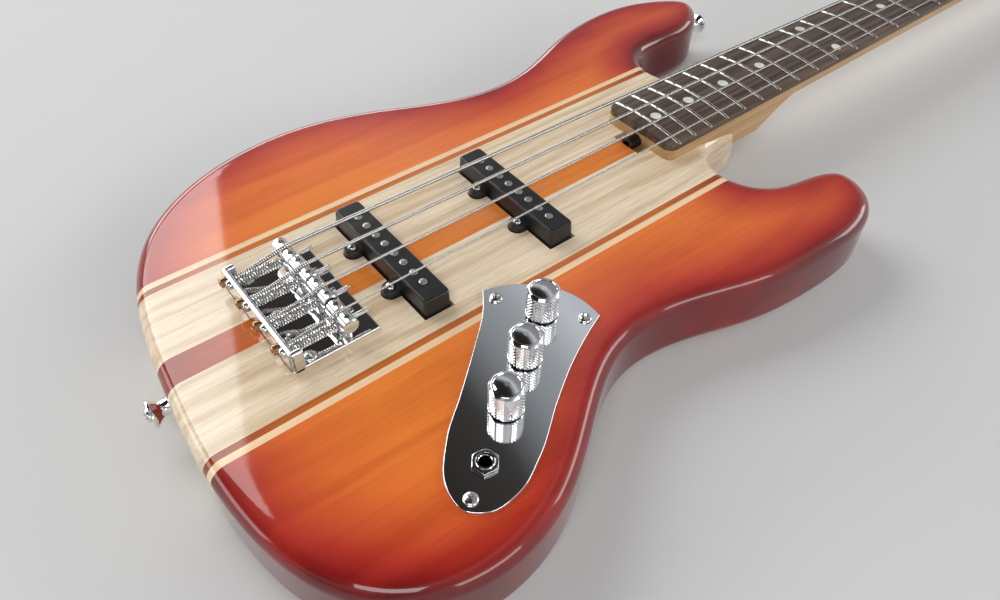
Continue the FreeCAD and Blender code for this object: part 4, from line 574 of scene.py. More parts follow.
def set_out(name: str, data: bpy.types.ID) -> Piece:
    """A new object in the scene.

    Args:
        name: The object's name.
        data: Its mesh, curve, lamp or camera.

    Returns:
        The object.
    """
    item = bpy.data.objects.new(name, data)
    bpy.context.scene.collection.objects.link(item)
    return item


def soften(item: Piece, edges: Edges, harden: bool) -> None:
    """Adds the modifier that rounds an object's edges.

    Args:
        item: The object.
        edges: How they are rounded.
        harden: Whether the faces between keep their own shading.
    """
    bevel = item.modifiers.new("soft_edges", "BEVEL")
    bevel.width = edges.width * MM
    bevel.segments = edges.segments
    bevel.limit_method = "ANGLE"
    bevel.angle_limit = math.radians(edges.angle)
    bevel.use_clamp_overlap = True
    bevel.harden_normals = harden


def new_piece(name: str, mesh: Mesh, finish: Finish, node: str, edges: Edges = Edges(width=0.0),
              follows: str = "") -> Piece:
    """Sets a finished mesh down as a piece of the instrument.

    Args:
        name: The piece's name.
        mesh: Its mesh, in metres in the row frame.
        finish: Its finish.
        node: The CAD node that it stands for, on whose body it rides.
        edges: How its edges are softened.
        follows: The moving body that a springy piece would reach to; if given, the piece is only baked in
            place, and the body itself is not used.

    Returns:
        The piece.
    """
    piece = set_out(name, mesh)
    mesh.materials.clear()
    mesh.materials.append(finish.material())
    for face in mesh.polygons:
        face.use_smooth = True
    mesh.set_sharp_from_angle(angle=math.radians(edges.smooth_angle))
    if edges.width:
        soften(piece, edges, True)
    piece.modifiers.new("even_shading", "WEIGHTED_NORMAL").keep_sharp = True
    if follows:
        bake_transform(piece)
    else:
        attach(piece, BODY_OF[node])
    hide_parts(node)
    return piece


def mesh_of(shape: bmesh.types.BMesh, name: str) -> Mesh:
    """A worked shape as a new mesh; the shape is freed.

    Args:
        shape: The shape.
        name: The mesh's name.

    Returns:
        The mesh.
    """
    mesh = bpy.data.meshes.new(name)
    shape.to_mesh(mesh)
    shape.free()
    return mesh


def cad_mesh(node: str) -> Mesh:
    """A CAD node's mesh welded, with its flat faces made whole.

    Args:
        node: The node's name.

    Returns:
        A new mesh.
    """
    shape = bmesh.new()
    shape.from_mesh(frame["nodes"][node].data)
    bmesh.ops.remove_doubles(shape, verts=shape.verts, dist=WELD_GAP * MM)
    bmesh.ops.dissolve_limit(shape, angle_limit=math.radians(FLAT_ANGLE), verts=shape.verts,
                             edges=shape.edges)
    mesh = mesh_of(shape, f"{node}_mesh")
    if "custom_normal" in mesh.attributes:
        mesh.attributes.remove(mesh.attributes["custom_normal"])
    return mesh


def dressed(node: str, finish: Finish, edges: Edges = Edges()) -> Piece:
    """A CAD node's own shape as a piece, with softened edges and a finish."""
    return new_piece(f"{node}_dressed", cad_mesh(node), finish, node, edges)


def span_points(ends: Sequence[np.ndarray], slopes: Sequence[np.ndarray], step: float, count: int) -> list:
    """Points along one span of a smooth curve, without its far end.

    Args:
        ends: The span's two ends.
        slopes: The curve's direction at each end.
        step: The span's length.
        count: How many points it gets.

    Returns:
        The points.
    """
    points = []
    for share in np.arange(count) / count:
        square, cube = share ** 2, share ** 3
        points.append((2 * cube - 3 * square + 1) * ends[0] + (cube - 2 * square + share) * step * slopes[0]
                      + (3 * square - 2 * cube) * ends[1] + (cube - square) * step * slopes[1])
    return points


def periodic_spline(points: np.ndarray, per_span: int) -> np.ndarray:
    """A smooth closed curve through points in plan.

    Args:
        points: The points.
        per_span: How many samples each span gets.

    Returns:
        The samples.
    """
    count = len(points)
    steps = np.linalg.norm(np.roll(points, -1, axis=0) - points, axis=1)
    before = np.roll(steps, 1)
    system = np.zeros((count, count))
    right = np.zeros((count, points.shape[1]))
    ring = [(index, (index - 1) % count, (index + 1) % count) for index in range(count)]
    for index, last, ahead in ring:
        system[index, last] += steps[index]
        system[index, index] += 2 * (steps[index] + before[index])
        system[index, ahead] += before[index]
        right[index] = 3 * (before[index] / steps[index] * (points[ahead] - points[index])
                            + steps[index] / before[index] * (points[index] - points[last]))
    slopes = np.linalg.solve(system, right)
    return np.array([point for index, _, ahead in ring for point in
                     span_points(points[[index, ahead]], slopes[[index, ahead]], steps[index], per_span)])


def open_spline(points: np.ndarray, per_span: int) -> np.ndarray:
    """A smooth open curve through points in plan.

    Args:
        points: The points.
        per_span: How many samples each span gets.

    Returns:
        The samples, with both ends.
    """
    travel = np.concatenate([[0.0], np.cumsum(np.linalg.norm(np.diff(points, axis=0), axis=1))])
    slopes = np.gradient(points, travel, axis=0, edge_order=2)
    samples = []
    for index, step in enumerate(np.diff(travel)):
        samples += span_points(points[index:index + 2], slopes[index:index + 2], step, per_span)
    return np.array([*samples, points[-1]])


def even_samples(curve: np.ndarray, spacing: float) -> np.ndarray:
    """A closed curve's points set at an even spacing.

    Args:
        curve: The curve.
        spacing: The distance between points.

    Returns:
        The new points.
    """
    closed = np.vstack([curve, curve[:1]])
    travel = np.concatenate([[0.0], np.cumsum(np.linalg.norm(np.diff(closed, axis=0), axis=1))])
    wanted = np.linspace(0.0, travel[-1], int(travel[-1] / spacing), endpoint=False)
    return np.column_stack([np.interp(wanted, travel, closed[:, k]) for k in range(closed.shape[1])])


def outward(curve: np.ndarray) -> np.ndarray:
    """Unit vectors out of a closed curve.

    Args:
        curve: The curve, which runs anticlockwise.

    Returns:
        A vector for each of its points.
    """
    along = np.roll(curve, -1, axis=0) - np.roll(curve, 1, axis=0)
    along /= np.linalg.norm(along, axis=1)[:, None]
    return np.column_stack([along[:, 1], -along[:, 0]])


def inside(points: np.ndarray, curve: np.ndarray) -> np.ndarray:
    """Which points lie inside a closed curve.

    Args:
        points: The points in plan.
        curve: The curve.

    Returns:
        True for each point inside.
    """
    found = np.zeros(len(points), bool)
    for (x0, y0), (x1, y1) in zip(curve, np.roll(curve, -1, axis=0)):
        crosses = (y0 > points[:, 1]) != (y1 > points[:, 1])
        with np.errstate(divide="ignore", invalid="ignore"):
            reach = (x1 - x0) * (points[:, 1] - y0) / (y1 - y0) + x0
        found ^= crosses & (points[:, 0] < reach)
    return found


def distance_to(points: np.ndarray, curve: np.ndarray) -> np.ndarray:
    """Least distance of each point from a curve's samples.

    Args:
        points: The points.
        curve: The samples.

    Returns:
        The distances.
    """
    least = np.full(len(points), np.inf)
    for sample in curve:
        least = np.minimum(least, np.linalg.norm(points - sample, axis=1))
    return least


def both(distance: float) -> Spot:
    """A distance to either side of the middle."""
    return -distance, distance


def rectangle(near: Spot, far: Spot) -> list[Spot]:
    """The corners of a rectangle in plan, anticlockwise from its lowest one."""
    return [(near[0], near[1]), (far[0], near[1]), (far[0], far[1]), (near[0], far[1])]


def regular(radius: float, count: int) -> list[Spot]:
    """The corners of a regular polygon, or the points of a circle."""
    angles = [math.tau * k / count for k in range(count)]
    return [(radius * math.cos(a), radius * math.sin(a)) for a in angles]


def pin(radius: float, low: float, high: float) -> list[Spot]:
    """The profile of a plain pin, to be turned."""
    return [(0, low), (radius, low), (radius, high), (0, high)]


def side_faces(count: int, rows: int) -> list[tuple[int, ...]]:
    """The faces between rings of points that are numbered row by row.

    Args:
        count: How many points a ring has.
        rows: How many rings there are.

    Returns:
        Each face's point numbers.
    """
    ring = [(k, (k + 1) % count) for k in range(count)]
    return [(low + k, low + ahead, low + count + ahead, low + count + k)
            for low in range(0, (rows - 1) * count, count) for k, ahead in ring]


def prism(outline: Profile, low: float, high: float) -> Mesh:
    """A straight block over an outline in plan, in millimetres."""
    return loft([[(x, y, z) for x, y in outline] for z in (low, high)])


def placed(at: Sequence[float], axis: Axis = Axis.Z, turn: float = 0.0) -> Matrix:
    """The place of something made upright at the origin: turned in degrees, leant and moved."""
    lean = Vector((0, 0, 1)).rotation_difference(Vector(axis.value)).to_matrix().to_4x4()
    return Matrix.Translation(Vector(at) * MM) @ lean @ Matrix.Rotation(math.radians(turn), 4, "Z")


def lathe(profile: Profile, at: Sequence[float] = (0, 0, 0), axis: Axis = Axis.Z, segments: int = 48,
          closed: bool = False) -> Mesh:
    """A turned solid.

    Args:
        profile: Radius and height of each ring, from the foot up; a radius of zero closes an end.
        at: The foot's centre, in millimetres.
        axis: The way that it points.
        segments: How many sides its rings have.
        closed: Whether the last ring joins the first, as in a sleeve.

    Returns:
        The solid's mesh.
    """
    shape = bmesh.new()
    rings = []
    for radius, height in profile:
        plan = regular(radius * MM, segments) if radius else [(0, 0)]
        rings.append([shape.verts.new((x, y, height * MM)) for x, y in plan])
    if closed:
        rings.append(rings[0])
    for ring, above in zip(rings, rings[1:]):
        for k in range(segments):
            ahead = (k + 1) % segments
            if len(ring) == 1:
                shape.faces.new((ring[0], above[k], above[ahead])[::-1])
            elif len(above) == 1:
                shape.faces.new((ring[k], ring[ahead], above[0]))
            else:
                shape.faces.new((ring[k], ring[ahead], above[ahead], above[k]))
    bmesh.ops.recalc_face_normals(shape, faces=shape.faces)
    shape.transform(placed(at, axis))
    return mesh_of(shape, "turned")


def joined(meshes: Iterable[Mesh]) -> Mesh:
    """Several meshes as one; the single ones are removed.

    Args:
        meshes: The meshes.

    Returns:
        The whole.
    """
    shape = bmesh.new()
    for mesh in meshes:
        shape.from_mesh(mesh)
        bpy.data.meshes.remove(mesh)
    return mesh_of(shape, "joined")


def repeated(master: Mesh, places: Iterable[Matrix]) -> Mesh:
    """Copies of a mesh as one mesh; the master is removed.

    Args:
        master: The mesh.
        places: Where each copy goes.

    Returns:
        All the copies.
    """
    copies = []
    for place in places:
        copies.append(master.copy())
        copies[-1].transform(place)
    bpy.data.meshes.remove(master)
    return joined(copies)


def loft(rings: Sequence[Sequence[Sequence[float]]]) -> Mesh:
    """A closed skin over a row of rings.

    Args:
        rings: Rings of points in millimetres, all with the same count.

    Returns:
        The skin's mesh.
    """
    count = len(rings[0])
    points = [tuple(v * MM for v in point) for ring in rings for point in ring]
    ends = [tuple(reversed(range(count))), tuple(range(len(points) - count, len(points)))]
    mesh = bpy.data.meshes.new("skin")
    mesh.from_pydata(points, [], ends + side_faces(count, len(rings)))
    shape = bmesh.new()
    shape.from_mesh(mesh)
    bmesh.ops.recalc_face_normals(shape, faces=shape.faces)
    shape.to_mesh(mesh)
    shape.free()
    return mesh


def applied(item: Piece) -> Mesh:
    """An object's mesh with its curve or modifiers worked out; the object and its data are removed.

    Args:
        item: The object.

    Returns:
        The mesh.
    """
    graph = bpy.context.evaluated_depsgraph_get()
    mesh = bpy.data.meshes.new_from_object(item.evaluated_get(graph))
    data = item.data
    bpy.data.objects.remove(item)
    (bpy.data.curves if isinstance(data, bpy.types.Curve) else bpy.data.meshes).remove(data)
    return mesh


def smooth_path(points: Sequence[Vector], resolution: int = 8) -> list[Vector]:
    """Points along the smooth curve that a row of control points draws.

    Args:
        points: The control points, in millimetres.
        resolution: How finely each span is read.

    Returns:
        The curve's points, in millimetres.
    """
    curve = bpy.data.curves.new("route", "CURVE")
    curve.dimensions = "3D"
    curve.resolution_u = resolution
    spline = curve.splines.new("NURBS")
    spline.points.add(len(points) - 1)
    for spot, point in zip(spline.points, points):
        spot.co = (*point, 1.0)
    spline.order_u = 3
    spline.use_endpoint_u = True
    mesh = applied(set_out("route", curve))
    samples = [vertex.co.copy() for vertex in mesh.vertices]
    bpy.data.meshes.remove(mesh)
    return [point for k, point in enumerate(samples)
            if k == 0 or (point - samples[k - 1]).length > SAME_POINT]


def tube(path: Sequence[Vector], radius: float, sides: int, wrap: float = 1.0,
         span: slice = slice(None)) -> Mesh:
    """A round wire along a path, with its count of wraps stored along it.

    Args:
        path: The wire's middle, in millimetres.
        radius: Its radius.
        sides: How many sides its section has.
        wrap: The length that one wrap takes.
        span: The stretch of the path that is made.

    Returns:
        The wire's mesh.
    """
    last = len(path) - 1
    ways = [(path[min(k + 1, last)] - path[max(k - 1, 0)]).normalized() for k in range(last + 1)]
    side = ways[0].orthogonal().normalized()
    rings, turns, travelled = [], [], 0.0
    for k, (middle, way) in enumerate(zip(path, ways)):
        if k:
            side = (ways[k - 1].rotation_difference(way) @ side).normalized()
            travelled += (middle - path[k - 1]).length
        other = way.cross(side)
        angles = [math.tau * n / sides for n in range(sides)]
        rings.append([middle + (side * math.cos(a) + other * math.sin(a)) * radius for a in angles])
        turns.append(travelled / wrap)
    mesh = loft(rings[span])
    counts = np.repeat(turns[span], sides)
    mesh.attributes.new("along", "FLOAT", "POINT").data.foreach_set("value", counts.astype(np.float32))
    return mesh


def softened(mesh: Mesh, edges: Edges) -> Mesh:
    """A mesh with its edges rounded for good.

    Args:
        mesh: The mesh, which is removed.
        edges: How they are rounded.

    Returns:
        The new mesh.
    """
    item = set_out("softening", mesh)
    soften(item, edges, False)
    return applied(item)


def carved(base: Mesh, cutter: Mesh, name: str) -> Mesh:
    """A mesh with another taken out of it; both are removed.

    Args:
        base: The solid.
        cutter: What is taken out.
        name: The new mesh's name.

    Returns:
        What is left.
    """
    block, tool = set_out("carving_base", base), set_out("carving_tool", cutter)
    carve = block.modifiers.new("carve", "BOOLEAN")
    carve.operation = "DIFFERENCE"
    carve.solver = "EXACT"
    carve.use_self = True
    carve.object = tool
    left = applied(block)
    left.name = name
    bpy.data.objects.remove(tool)
    bpy.data.meshes.remove(cutter)
    return left


def slot_outline(first: Spot, last: Spot, radius: float, steps: int = 16) -> list[Spot]:
    """A round-ended slot between two points in plan.

    Args:
        first: The middle of one end.
        last: The middle of the other.
        radius: The radius of both ends.
        steps: How finely they are rounded.

    Returns:
        The slot's outline.
    """
    start, end = Vector(first), Vector(last)
    base = math.atan2(end.y - start.y, end.x - start.x)
    points = []
    for centre, turn in ((end, base - math.pi / 2), (start, base + math.pi / 2)):
        for step in range(steps + 1):
            angle = turn + math.pi * step / steps
            points.append((centre.x + radius * math.cos(angle), centre.y + radius * math.sin(angle)))
    return points


def rounded_outline(corners: Profile, radius: float, steps: int = 8) -> list[Spot]:
    """A polygon with its corners rounded by equal legs.

    Args:
        corners: The polygon's corners.
        radius: How much of each side a corner takes.
        steps: How finely a corner is rounded.

    Returns:
        The rounded outline.
    """
    points = []
    for index in range(len(corners)):
        corner = Vector(corners[index])
        back = (Vector(corners[index - 1]) - corner).normalized()
        ahead = (Vector(corners[(index + 1) % len(corners)]) - corner).normalized()
        start, end = corner + back * radius, corner + ahead * radius
        for share in (step / steps for step in range(steps + 1)):
            left = 1 - share
            points.append(tuple(start * left ** 2 + corner * 2 * share * left + end * share ** 2))
    return points


def crowned_block(near: Spot, far: Spot, levels: Spot, corner: float, crown: float, draft: float = 0.0,
                  steps: int = 6) -> Mesh:
    """An upright block with rounded corners in plan and a rounded top edge.

    Args:
        near: Its lowest corner in plan.
        far: Its highest corner in plan.
        levels: Its foot and its top.
        corner: How much of each side a corner takes.
        crown: The radius of its top edge.
        draft: How far its sides lean in.
        steps: How finely the top edge is rounded.

    Returns:
        The block's mesh.
    """
    low, high = levels
    insets = [(0.0, low), (draft, high - crown)]
    for step in range(1, steps + 1):
        angle = math.pi / 2 * step / steps
        insets.append((draft + crown * (1 - math.cos(angle)), high - crown * (1 - math.sin(angle))))
    rings = []
    for inset, level in insets:
        start, end = (near[0] + inset, near[1] + inset), (far[0] - inset, far[1] - inset)
        reach = min(corner, *(CORNER_LIMIT_SHARE * (end[k] - start[k]) for k in range(2)))
        rings.append([(x, y, level) for x, y in rounded_outline(rectangle(start, end), reach, steps)])
    return loft(rings)


class SubAssembly:
    """A group of pieces that are made together."""

    def build(self) -> list[Piece]:
        """Makes the pieces.

        Returns:
            The pieces, dressed and in place.
        """
        raise NotImplementedError


@dataclass(frozen=True)
class Layout:
    """Places that several sub-assemblies share."""

    top: float = 44.0
    plate_top: float = 45.6
    scale: float = 863.6
    saddle_spacing: float = 20.0
    nut_spacing: float = 10.5
    nut_length: float = 5.0
    nut_half: float = 21.25
    board_flare: float = 0.015
    board_top: float = 57.4
    board_crown: float = 184.0
    gauges: tuple[float, ...] = (2.6, 2.1, 1.6, 1.2)
    post_start: float = 52.0
    post_pitch: float = 38.0
    post_waist: float = 4.6
    wind_gap: float = 0.05
    head_back: float = 32.0
    tuner_turn: float = -15.0
    tail_seat: Place = (-89.0, 0.0, 22.0)
    horn_seat: Place = (428.0, 112.0, 22.0)

    def side(self, index: int, x: float) -> float:
        """How far a string lies from the centre line at a distance from the saddles."""
        narrowing = self.nut_spacing - self.saddle_spacing
        return STRING_SHARES[index] * (self.saddle_spacing + narrowing * x / self.scale)

    def fret(self, number: int) -> float:
        """A fret's distance from the saddles."""
        return self.scale * 2 ** (-number / 12)

    def board_half(self, x: float) -> float:
        """Half the fingerboard's width at a distance from the saddles."""
        return self.nut_half + self.board_flare * (self.scale - x)

    def board_level(self, y: float) -> float:
        """The crowned fingerboard's level at a distance from the centre line."""
        return self.board_top - self.board_crown + math.sqrt(self.board_crown ** 2 - y ** 2)

    def wind_radius(self, index: int) -> float:
        """The radius of a string's turns round its post."""
        return self.post_waist + self.gauges[index] / 2 + self.wind_gap

    def post(self, index: int) -> Spot:
        """A tuner post's place in plan, with its string running straight past the treble side."""
        x = self.scale + self.post_start + self.post_pitch * index
        return x, self.side(index, x) + self.wind_radius(index)

    def tuner(self, index: int) -> Matrix:
        """The place of a tuner, at its post's axis on the back of the headstock."""
        return placed((*self.post(index), self.head_back), turn=self.tuner_turn)


LAYOUT = Layout()

# Points of the body's outline, as shares of its length from the tail and of its width from the treble edge.
BODY_OUTLINE_SHARES = (
    (0.760, 0.446), (0.716, 0.428), (0.697, 0.364), (0.722, 0.293), (0.775, 0.267), (0.821, 0.232),
    (0.817, 0.170), (0.695, 0.109), (0.585, 0.131), (0.491, 0.174), (0.406, 0.176), (0.326, 0.111),
    (0.240, 0.026), (0.143, 0.000), (0.057, 0.059), (0.000, 0.305), (0.008, 0.540), (0.076, 0.862),
    (0.305, 1.000), (0.438, 0.947), (0.543, 0.886), (0.623, 0.884), (0.745, 0.950), (0.857, 0.982),
    (0.956, 0.950), (1.000, 0.883), (0.973, 0.824), (0.834, 0.786), (0.800, 0.739), (0.800, 0.680),
    (0.819, 0.628), (0.829, 0.554), (0.813, 0.475),
)


@dataclass
class LaminatedBody(SubAssembly):
    """The glued-up body: strips of wood cut from one rounded and routed block."""

    pickups: Sequence["Pickup"]
    panel: "ControlPanel"
    length: float = 525.0
    width: float = 341.0
    tail: float = 95.0
    treble_reach: float = 184.0
    thickness: float = 44.0
    edge_round: float = 9.5
    round_steps: int = 9
    curve_steps: int = 24
    spacing: float = 3.2
    grid: float = 5.0
    grid_gap_share: float = 0.55
    centre_half: float = 9.0
    ash_edge: float = 58.5
    dark_edge: float = 62.7
    pale_edge: float = 67.0
    overcut: float = 5.0
    pocket_span: Spot = (247.95, 360.0)
    pocket_halves: Spot = (30.55, 28.87)
    pocket_round: float = 6.9
    pocket_depth: float = 16.0
    truss_span: Spot = (238.5, 253.0)
    truss_half: float = 12.0
    truss_depth: float = 9.0
    rebate_span: Spot = (261.45, 324.55)
    rebate_half: float = 25.55
    rebate_round: float = 8.0
    rebate_depth: float = 2.0
    cavity_radius: float = 14.5
    cavity_depth: float = 34.0
    rout_gap: float = 0.6
    rout_depth: float = 22.0
    button_bore: float = 6.35
    button_depth: float = 20.0
    saw_gap: float = 1e-7
    wall_start_share: float = 0.5
    wall_distance_share: float = 0.6

    def outline(self) -> np.ndarray:
        """The body's outline in plan, anticlockwise, in millimetres."""
        shares = np.array(BODY_OUTLINE_SHARES[::-1])
        points = shares * (self.length, self.width) - (self.tail, self.treble_reach)
        return even_samples(periodic_spline(points, self.curve_steps), self.spacing)

    def flat_face(self, ring: np.ndarray, level: float) -> tuple[list, list]:
        """Points and triangles of the flat front or back inside a ring.

        Args:
            ring: The flat's edge.
            level: Its level.

        Returns:
            The points after the ring's own, and the triangles over all of them.
        """
        low, high = ring.min(axis=0), ring.max(axis=0)
        xs, ys = (np.arange(low[k] + self.grid / 2, high[k], self.grid) for k in range(2))
        spots = np.array([(x, y) for x in xs for y in ys])
        spots = spots[inside(spots, ring)]
        spots = spots[distance_to(spots, ring) > self.grid * self.grid_gap_share]
        flat = [Vector(p) for p in np.vstack([ring, spots])]
        count = len(ring)
        edges = [(k, (k + 1) % count) for k in range(count)]
        made = delaunay_2d_cdt(flat, edges, [list(range(count))], FILL_INSIDE, FILL_TOLERANCE)
        return [(p.x, p.y, level) for p in made[0][count:]], made[2]

    def blank(self) -> Mesh:
        """The whole block with its rounded edges.

        Returns:
            The block's mesh.
        """
        curve = self.outline()
        ways = outward(curve)
        count = len(curve)
        angles = [math.pi / 2 * k / self.round_steps for k in range(self.round_steps + 1)]
        rise = [(self.edge_round * (1 - math.sin(a)), self.edge_round * (1 - math.cos(a))) for a in angles]
        levels = rise + [(inset, self.thickness - z) for inset, z in reversed(rise)]
        points = [(x, y, level) for inset, level in levels for x, y in curve - ways * inset]
        faces = side_faces(count, len(levels))
        ring = curve - ways * self.edge_round
        for row, level in ((0, 0.0), (len(levels) - 1, self.thickness)):
            inner, triangles = self.flat_face(ring, level)
            base = len(points)
            points += inner
            for triangle in triangles:
                found = [row * count + k if k < count else base + k - count for k in triangle]
                faces.append(tuple(found if row else reversed(found)))
        mesh = bpy.data.meshes.new("body_blank")
        mesh.from_pydata([(x * MM, y * MM, z * MM) for x, y, z in points], [], faces)
        return mesh

    def routs(self) -> Mesh:
        """Everything that is cut out of the block.

        Returns:
            One cutter for all of it.
        """
        top, over = self.thickness, self.thickness + self.overcut
        (end, mouth), (wide, narrow) = self.pocket_span, self.pocket_halves
        corners = [(end, wide), (end, -wide), (mouth, -narrow), (mouth, narrow)]
        pocket = rounded_outline(corners, self.pocket_round)
        truss, rebate = (rectangle((near, -half), (far, half)) for (near, far), half in
                         ((self.truss_span, self.truss_half), (self.rebate_span, self.rebate_half)))
        cavity = slot_outline(self.panel.spot(len(self.panel.knobs)), self.panel.spot(0), self.cavity_radius)
        button = pin(self.button_bore, 0, self.button_depth)
        cutters = [
            prism(pocket, top - self.pocket_depth, over),
            prism(truss, top - self.truss_depth, over),
            prism(rounded_outline(rebate, self.rebate_round), -self.overcut, self.rebate_depth),
            prism(cavity, top - self.cavity_depth, over),
            lathe(button, LAYOUT.tail_seat, Axis.MINUS_X),
            lathe(button, LAYOUT.horn_seat, Axis.X),
        ]
        for pickup in self.pickups:
            size = (pickup.width + 2 * self.rout_gap, pickup.length + 2 * self.rout_gap)
            plans = [rectangle(*pickup.corners(*size)), *pickup.ears(pickup.ear_radius + self.rout_gap)]
            cutters += [prism(plan, top - self.rout_depth, over) for plan in plans]
        return joined(cutters)

    def strip(self, block: Mesh, low: float, high: float) -> Mesh:
        """The part of the block between two glue lines, closed where it was sawn.

        Args:
            block: The routed block.
            low: The glue line on the treble side.
            high: The glue line on the bass side.

        Returns:
            The strip's mesh.
        """
        shape = bmesh.new()
        shape.from_mesh(block)
        for side, sign in ((low, -1), (high, 1)):
            everything = [*shape.verts, *shape.edges, *shape.faces]
            cut = bmesh.ops.bisect_plane(shape, geom=everything, dist=self.saw_gap, clear_outer=True,
                                         plane_co=(0, side * MM, 0), plane_no=(0, sign, 0))
            sawn = [item for item in cut["geom_cut"] if isinstance(item, bmesh.types.BMEdge)]
            if sawn:
                bmesh.ops.triangle_fill(shape, use_beauty=True, use_dissolve=True, edges=sawn)
        bmesh.ops.recalc_face_normals(shape, faces=shape.faces)
        return mesh_of(shape, "strip")

    def mark_distance(self, mesh: Mesh) -> None:
        """Stores each point's distance in from the outline, which the stain follows.

        Args:
            mesh: A strip's mesh.
        """
        flat = np.array([v.co[:2] for v in mesh.vertices])
        inset = distance_to(flat, self.outline() * MM)
        skirt = np.array([min(v.co.z, self.thickness * MM - v.co.z) for v in mesh.vertices])
        wall = skirt > self.edge_round * MM * self.wall_start_share
        inset = np.where(wall, inset * self.wall_distance_share, inset)
        layer = mesh.attributes.new("edge_distance", "FLOAT", "POINT")
        layer.data.foreach_set("value", inset.astype(np.float32))

    def build(self) -> list[Piece]:
        """Makes all the strips."""
        block = carved(self.blank(), self.routs(), "body_block")
        centre, ash, dark = self.centre_half, self.ash_edge, self.dark_edge
        pale, beyond = self.pale_edge, self.width
        plan = (
            ("centre_stripe", Finishes.centre, ((-centre, centre),)),
            ("ash_band_bass", Finishes.ash, ((centre, ash),)),
            ("ash_band_treble", Finishes.ash, ((-ash, -centre),)),
            ("dark_stripes", Finishes.dark, ((ash, dark), (-dark, -ash))),
            ("pale_stripes", Finishes.pale, ((dark, pale), (-pale, -dark))),
            ("bass_wing", Finishes.burst, ((pale, beyond),)),
            ("treble_wing", Finishes.burst, ((-beyond, -pale),)),
        )
        pieces = []
        for node, finish, spans in plan:
            mesh = joined([self.strip(block, *span) for span in spans])
            self.mark_distance(mesh)
            pieces.append(new_piece(f"{node}_wood", mesh, finish, node, Edges(0.0, smooth_angle=30.0)))
        bpy.data.meshes.remove(block)
        return pieces


class Tip(Enum):
    """How a screw's shank ends: its length in shank radii, and its end in root radii."""

    POINTED = (2.0, 0.4)
    BLUNT = (0.3, 0.9)


@dataclass(frozen=True)
class Screw:
    """A screw with a domed head, a cross recess and a thread, seated at the origin with its head up."""

    head_radius: float = 3.7
    head_height: float = 2.0
    shank_radius: float = 1.7
    length: float = 22.0
    pitch: float = 1.3
    rim_share: float = 0.3
    recess_share: float = 0.62
    blade_share: float = 0.15
    depth_share: float = 0.7
    root_share: float = 0.74
    tip_rise_share: float = 0.2
    dome_steps: int = 7
    shank_sides: int = 14
    tip: Tip = Tip.POINTED

    def head(self) -> Mesh:
        """The head with its cross cut out.

        Returns:
            The head's mesh.
        """
        rim = self.head_height * self.rim_share
        profile = [(0, 0), (self.head_radius, 0), (self.head_radius, rim)]
        for step in range(1, self.dome_steps + 1):
            angle = math.pi / 2 * step / self.dome_steps
            reach = self.head_radius * math.cos(angle) if step < self.dome_steps else 0
            profile.append((reach, rim + (self.head_height - rim) * math.sin(angle)))
        long, wide = self.head_radius * self.recess_share, self.head_radius * self.blade_share
        floor, above = self.head_height * (1 - self.depth_share), self.head_height * 2
        blades = [prism(rectangle((-x, -y), (x, y)), floor, above) for x, y in ((long, wide), (wide, long))]
        return carved(lathe(profile), joined(blades), "screw_head")

    def shank(self) -> Mesh:
        """The threaded shank, running down from the seat.

        Returns:
            The shank's mesh.
        """
        root = self.shank_radius * self.root_share
        tip_share, end_share = self.tip.value
        tip = self.shank_radius * tip_share
        profile = [(0, -self.length), (root * end_share, -self.length + tip * self.tip_rise_share)]
        level = tip - self.length
        while level < -self.pitch:
            profile += [(root, level), (self.shank_radius, level + self.pitch / 2)]
            level += self.pitch
        profile += [(root, level), (root, 0), (0, 0)]
        return lathe(profile, segments=self.shank_sides)

    def mesh(self) -> Mesh:
        """The whole screw."""
        return joined([self.head(), self.shank()])


